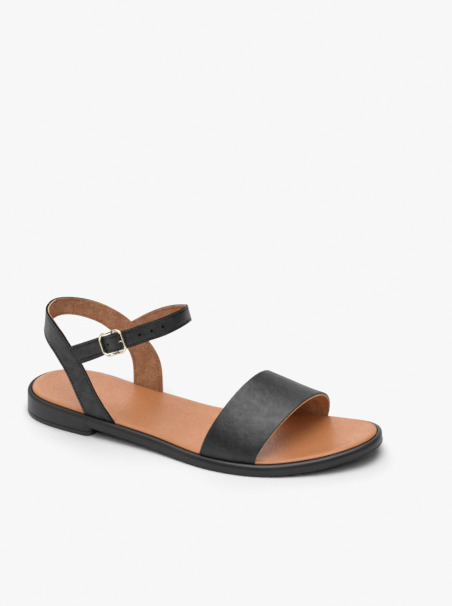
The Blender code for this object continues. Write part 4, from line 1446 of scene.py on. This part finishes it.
class SANDAL_OT_buckle(bpy.types.Operator):
    """Buckle: a bent wire frame with a middle bar, and the prong that turns on it"""

    bl_idname = "sandal.buckle"
    bl_label = "Buckle"

    def execute(self, context):
        gold = material("pale gold plate")
        wire = combine(self.wire_frame(), "UNION", self.middle_bar())
        dress(wire, BUCKLE_SMOOTH_DEG, "pale gold", ("buckle_frame",), gold)
        dress(self.prong(), BUCKLE_SMOOTH_DEG, "pale gold", ("buckle_prong",), gold)
        return {"FINISHED"}

    def wire_frame(self):
        """A plate's round-cornered outline, its rails dipped to the middle bar, made as thick as a wire."""
        piece = new_piece("buckle_wire_frame", bpy.ops.mesh.primitive_plane_add, size=1)
        with editing():
            bpy.ops.transform.resize(value=(2 * FRAME_HALF_LENGTH * MM, 2 * FRAME_HALF_HEIGHT * MM, 1))
            bpy.ops.mesh.bevel(offset=FRAME_CORNER_RADIUS * MM, segments=8, affect="VERTICES")
            bpy.ops.mesh.select_all(action="SELECT")
            bpy.ops.mesh.delete(type="ONLY_FACE")
            bpy.ops.mesh.select_all(action="SELECT")
            bpy.ops.mesh.subdivide(number_cuts=3)
        flat = FRAME_HALF_LENGTH - FRAME_CORNER_RADIUS
        for vertex in piece.data.vertices:
            rise = eased(min(abs(vertex.co.x) / MM / flat, 1.0))
            vertex.co.z = (BAR_OUT + (FRAME_END_OUT - BAR_OUT) * rise) * MM
        bpy.ops.object.convert(target="CURVE")
        wire = bpy.context.object.data
        wire.bevel_depth = FRAME_WIRE_RADIUS * MM
        wire.bevel_resolution = 4
        bpy.ops.object.convert(target="MESH")
        piece = start_piece("buckle_wire_frame")
        piece.data.transform(buckle_matrix())
        return close_up(piece)

    def middle_bar(self):
        sizes = {"vertices": 24, "radius": BAR_RADIUS * MM, "depth": 2 * FRAME_HALF_HEIGHT * MM}
        add = bpy.ops.mesh.primitive_cylinder_add
        piece = new_piece("middle_bar", add, rotation=(math.pi / 2, 0, 0), **sizes)
        bpy.ops.object.transform_apply(location=True, rotation=True, scale=True)
        piece.data.transform(buckle_matrix(out=BAR_OUT))
        return piece

    def prong(self):
        """A tapered pin with a rolled eye."""
        outer = BAR_RADIUS + GAP + PRONG_EYE_WALL
        heading = Vector(prong_heading())
        straight = PRONG_LENGTH * PRONG_STRAIGHT - outer
        sizes = {"vertices": 16, "radius": PRONG_RADIUS * MM, "depth": straight * MM}
        pin = new_piece("buckle_prong_pin", bpy.ops.mesh.primitive_cylinder_add, **sizes)
        with editing("DESELECT"):
            bpy.ops.mesh.select_mode(type="FACE")
        max(pin.data.polygons, key=lambda polygon: polygon.center.z).select = True
        bpy.ops.object.mode_set(mode="EDIT")
        for shrink, reach in PRONG_TAPER:
            step = {"value": (0, 0, PRONG_LENGTH * reach * MM)}
            bpy.ops.mesh.extrude_region_move(TRANSFORM_OT_translate=step)
            bpy.ops.transform.resize(value=(shrink, shrink, 1))
        bpy.ops.object.mode_set(mode="OBJECT")
        place = heading * (outer + straight / 2 - PRONG_EYE_WALL / 2) * MM
        turn = heading.to_track_quat("Z", "Y").to_euler().to_matrix().to_4x4()
        pin.data.transform(Matrix.Translation(place) @ turn)
        ring = {"major_radius": (outer - PRONG_EYE_WALL / 2) * MM, "minor_radius": PRONG_EYE_WALL / 2 * MM}
        steps = {"major_segments": 32, "minor_segments": 10}
        eye = new_piece("prong_eye", bpy.ops.mesh.primitive_torus_add, **ring, **steps)
        with editing():
            bpy.ops.transform.resize(value=(1, 1, PRONG_EYE_WIDTH / PRONG_EYE_WALL))
        eye.data.transform(Matrix.Rotation(math.pi / 2, 4, "X"))
        combine(pin, "UNION", eye)
        pin.data.transform(buckle_matrix(out=BAR_OUT))
        return close_up(pin)


class SANDAL_OT_stitching(bpy.types.Operator):
    """Seams along the edges of the back strap, the ankle strap and its tip"""

    bl_idname = "sandal.stitching"
    bl_label = "Stitching"

    def execute(self, context):
        sizes = context.scene.sandal_sizes
        threads = {"outside": material("black sewing thread"), "inside": material("brown sewing thread")}
        inset, pitch = sizes.stitch_inset / MM, sizes.stitch_pitch / MM
        for name, rows, sections, wall, keep in (
            ("back_strap_seam", back_strap_rows(), BACK_SECTIONS, STRAP_WALL, BACK_SEAM_KEEP),
            ("ankle_strap_seam", ankle_strap_rows(), ANKLE_SECTIONS, ANKLE_WALL, ANKLE_SEAM_KEEP),
        ):
            a, b = strap_edges(rows, sections)
            lift = wall / 2 - STITCH_SUNK
            for end, face in (("outside", lift), ("inside", -lift)):
                places = seam_along(a, b, inset, face, pitch, keep)
                places += seam_along(b, a, inset, -face, pitch, keep)
                if name == "ankle_strap_seam" and face > 0:
                    places += seam_across_tip(inset, face, pitch)
                sew(f"{name}_{end}", places, sizes, threads[end])
        return {"FINISHED"}


class SANDAL_OT_stage(bpy.types.Operator):
    """Pale floor, soft studio light and the camera of the photograph"""

    bl_idname = "sandal.stage"
    bl_label = "Stage"

    def execute(self, context):
        floor = new_piece("floor", bpy.ops.mesh.primitive_plane_add, size=FLOOR_SIZE)
        floor.data.materials.append(material("white paper"))
        context.scene.world = light_tent()
        turn = [math.radians(angle) for angle in CAMERA_TURN_DEG]
        camera = new_piece("camera", bpy.ops.object.camera_add, location=CAMERA_PLACE, rotation=turn)
        camera.data.lens = CAMERA_LENS
        camera.data.sensor_width = CAMERA_SENSOR
        context.scene.camera = camera
        view = context.scene.view_settings
        view.view_transform = "Standard"
        view.use_curve_mapping = True
        curve = view.curve_mapping.curves[ALL_CHANNELS]
        curve.points[1].location = (PAPER_TONE, PAPER_TONE)
        curve.points.new(1.0, PAPER_TONE)
        for point in curve.points:
            point.handle_type = "VECTOR"
        view.curve_mapping.update()
        return {"FINISHED"}


STEPS = (
    SANDAL_OT_sole,
    SANDAL_OT_insole,
    SANDAL_OT_toe_strap,
    SANDAL_OT_back_strap,
    SANDAL_OT_ankle_strap,
    SANDAL_OT_buckle,
    SANDAL_OT_stitching,
    SANDAL_OT_stage,
)


class SANDAL_PT_panel(bpy.types.Panel):
    """Sizes, colours and steps of the sandal"""

    bl_idname = "SANDAL_PT_panel"
    bl_label = "Flat sandal"
    bl_space_type = "VIEW_3D"
    bl_region_type = "UI"
    bl_category = "Sandal"

    def draw(self, context):
        for group in (context.scene.sandal_sizes, context.scene.sandal_colours):
            box = self.layout.box()
            for name in group.__annotations__:
                box.prop(group, name)
        for step in STEPS:
            self.layout.operator(step.bl_idname)


CLASSES = (SandalSizes, SandalColours, *STEPS, SANDAL_PT_panel)


def register():
    for one in CLASSES:
        bpy.utils.register_class(one)
    bpy.types.Scene.sandal_sizes = bpy.props.PointerProperty(type=SandalSizes)
    bpy.types.Scene.sandal_colours = bpy.props.PointerProperty(type=SandalColours)


def unregister():
    del bpy.types.Scene.sandal_colours
    del bpy.types.Scene.sandal_sizes
    for one in reversed(CLASSES):
        bpy.utils.unregister_class(one)


def main():
    register()
    bpy.ops.sandal.sole()
    bpy.ops.sandal.insole()
    bpy.ops.sandal.toe_strap()
    bpy.ops.sandal.back_strap()
    bpy.ops.sandal.ankle_strap()
    bpy.ops.sandal.buckle()
    bpy.ops.sandal.stitching()
    bpy.ops.sandal.stage()


if __name__ == "__main__":
    main()
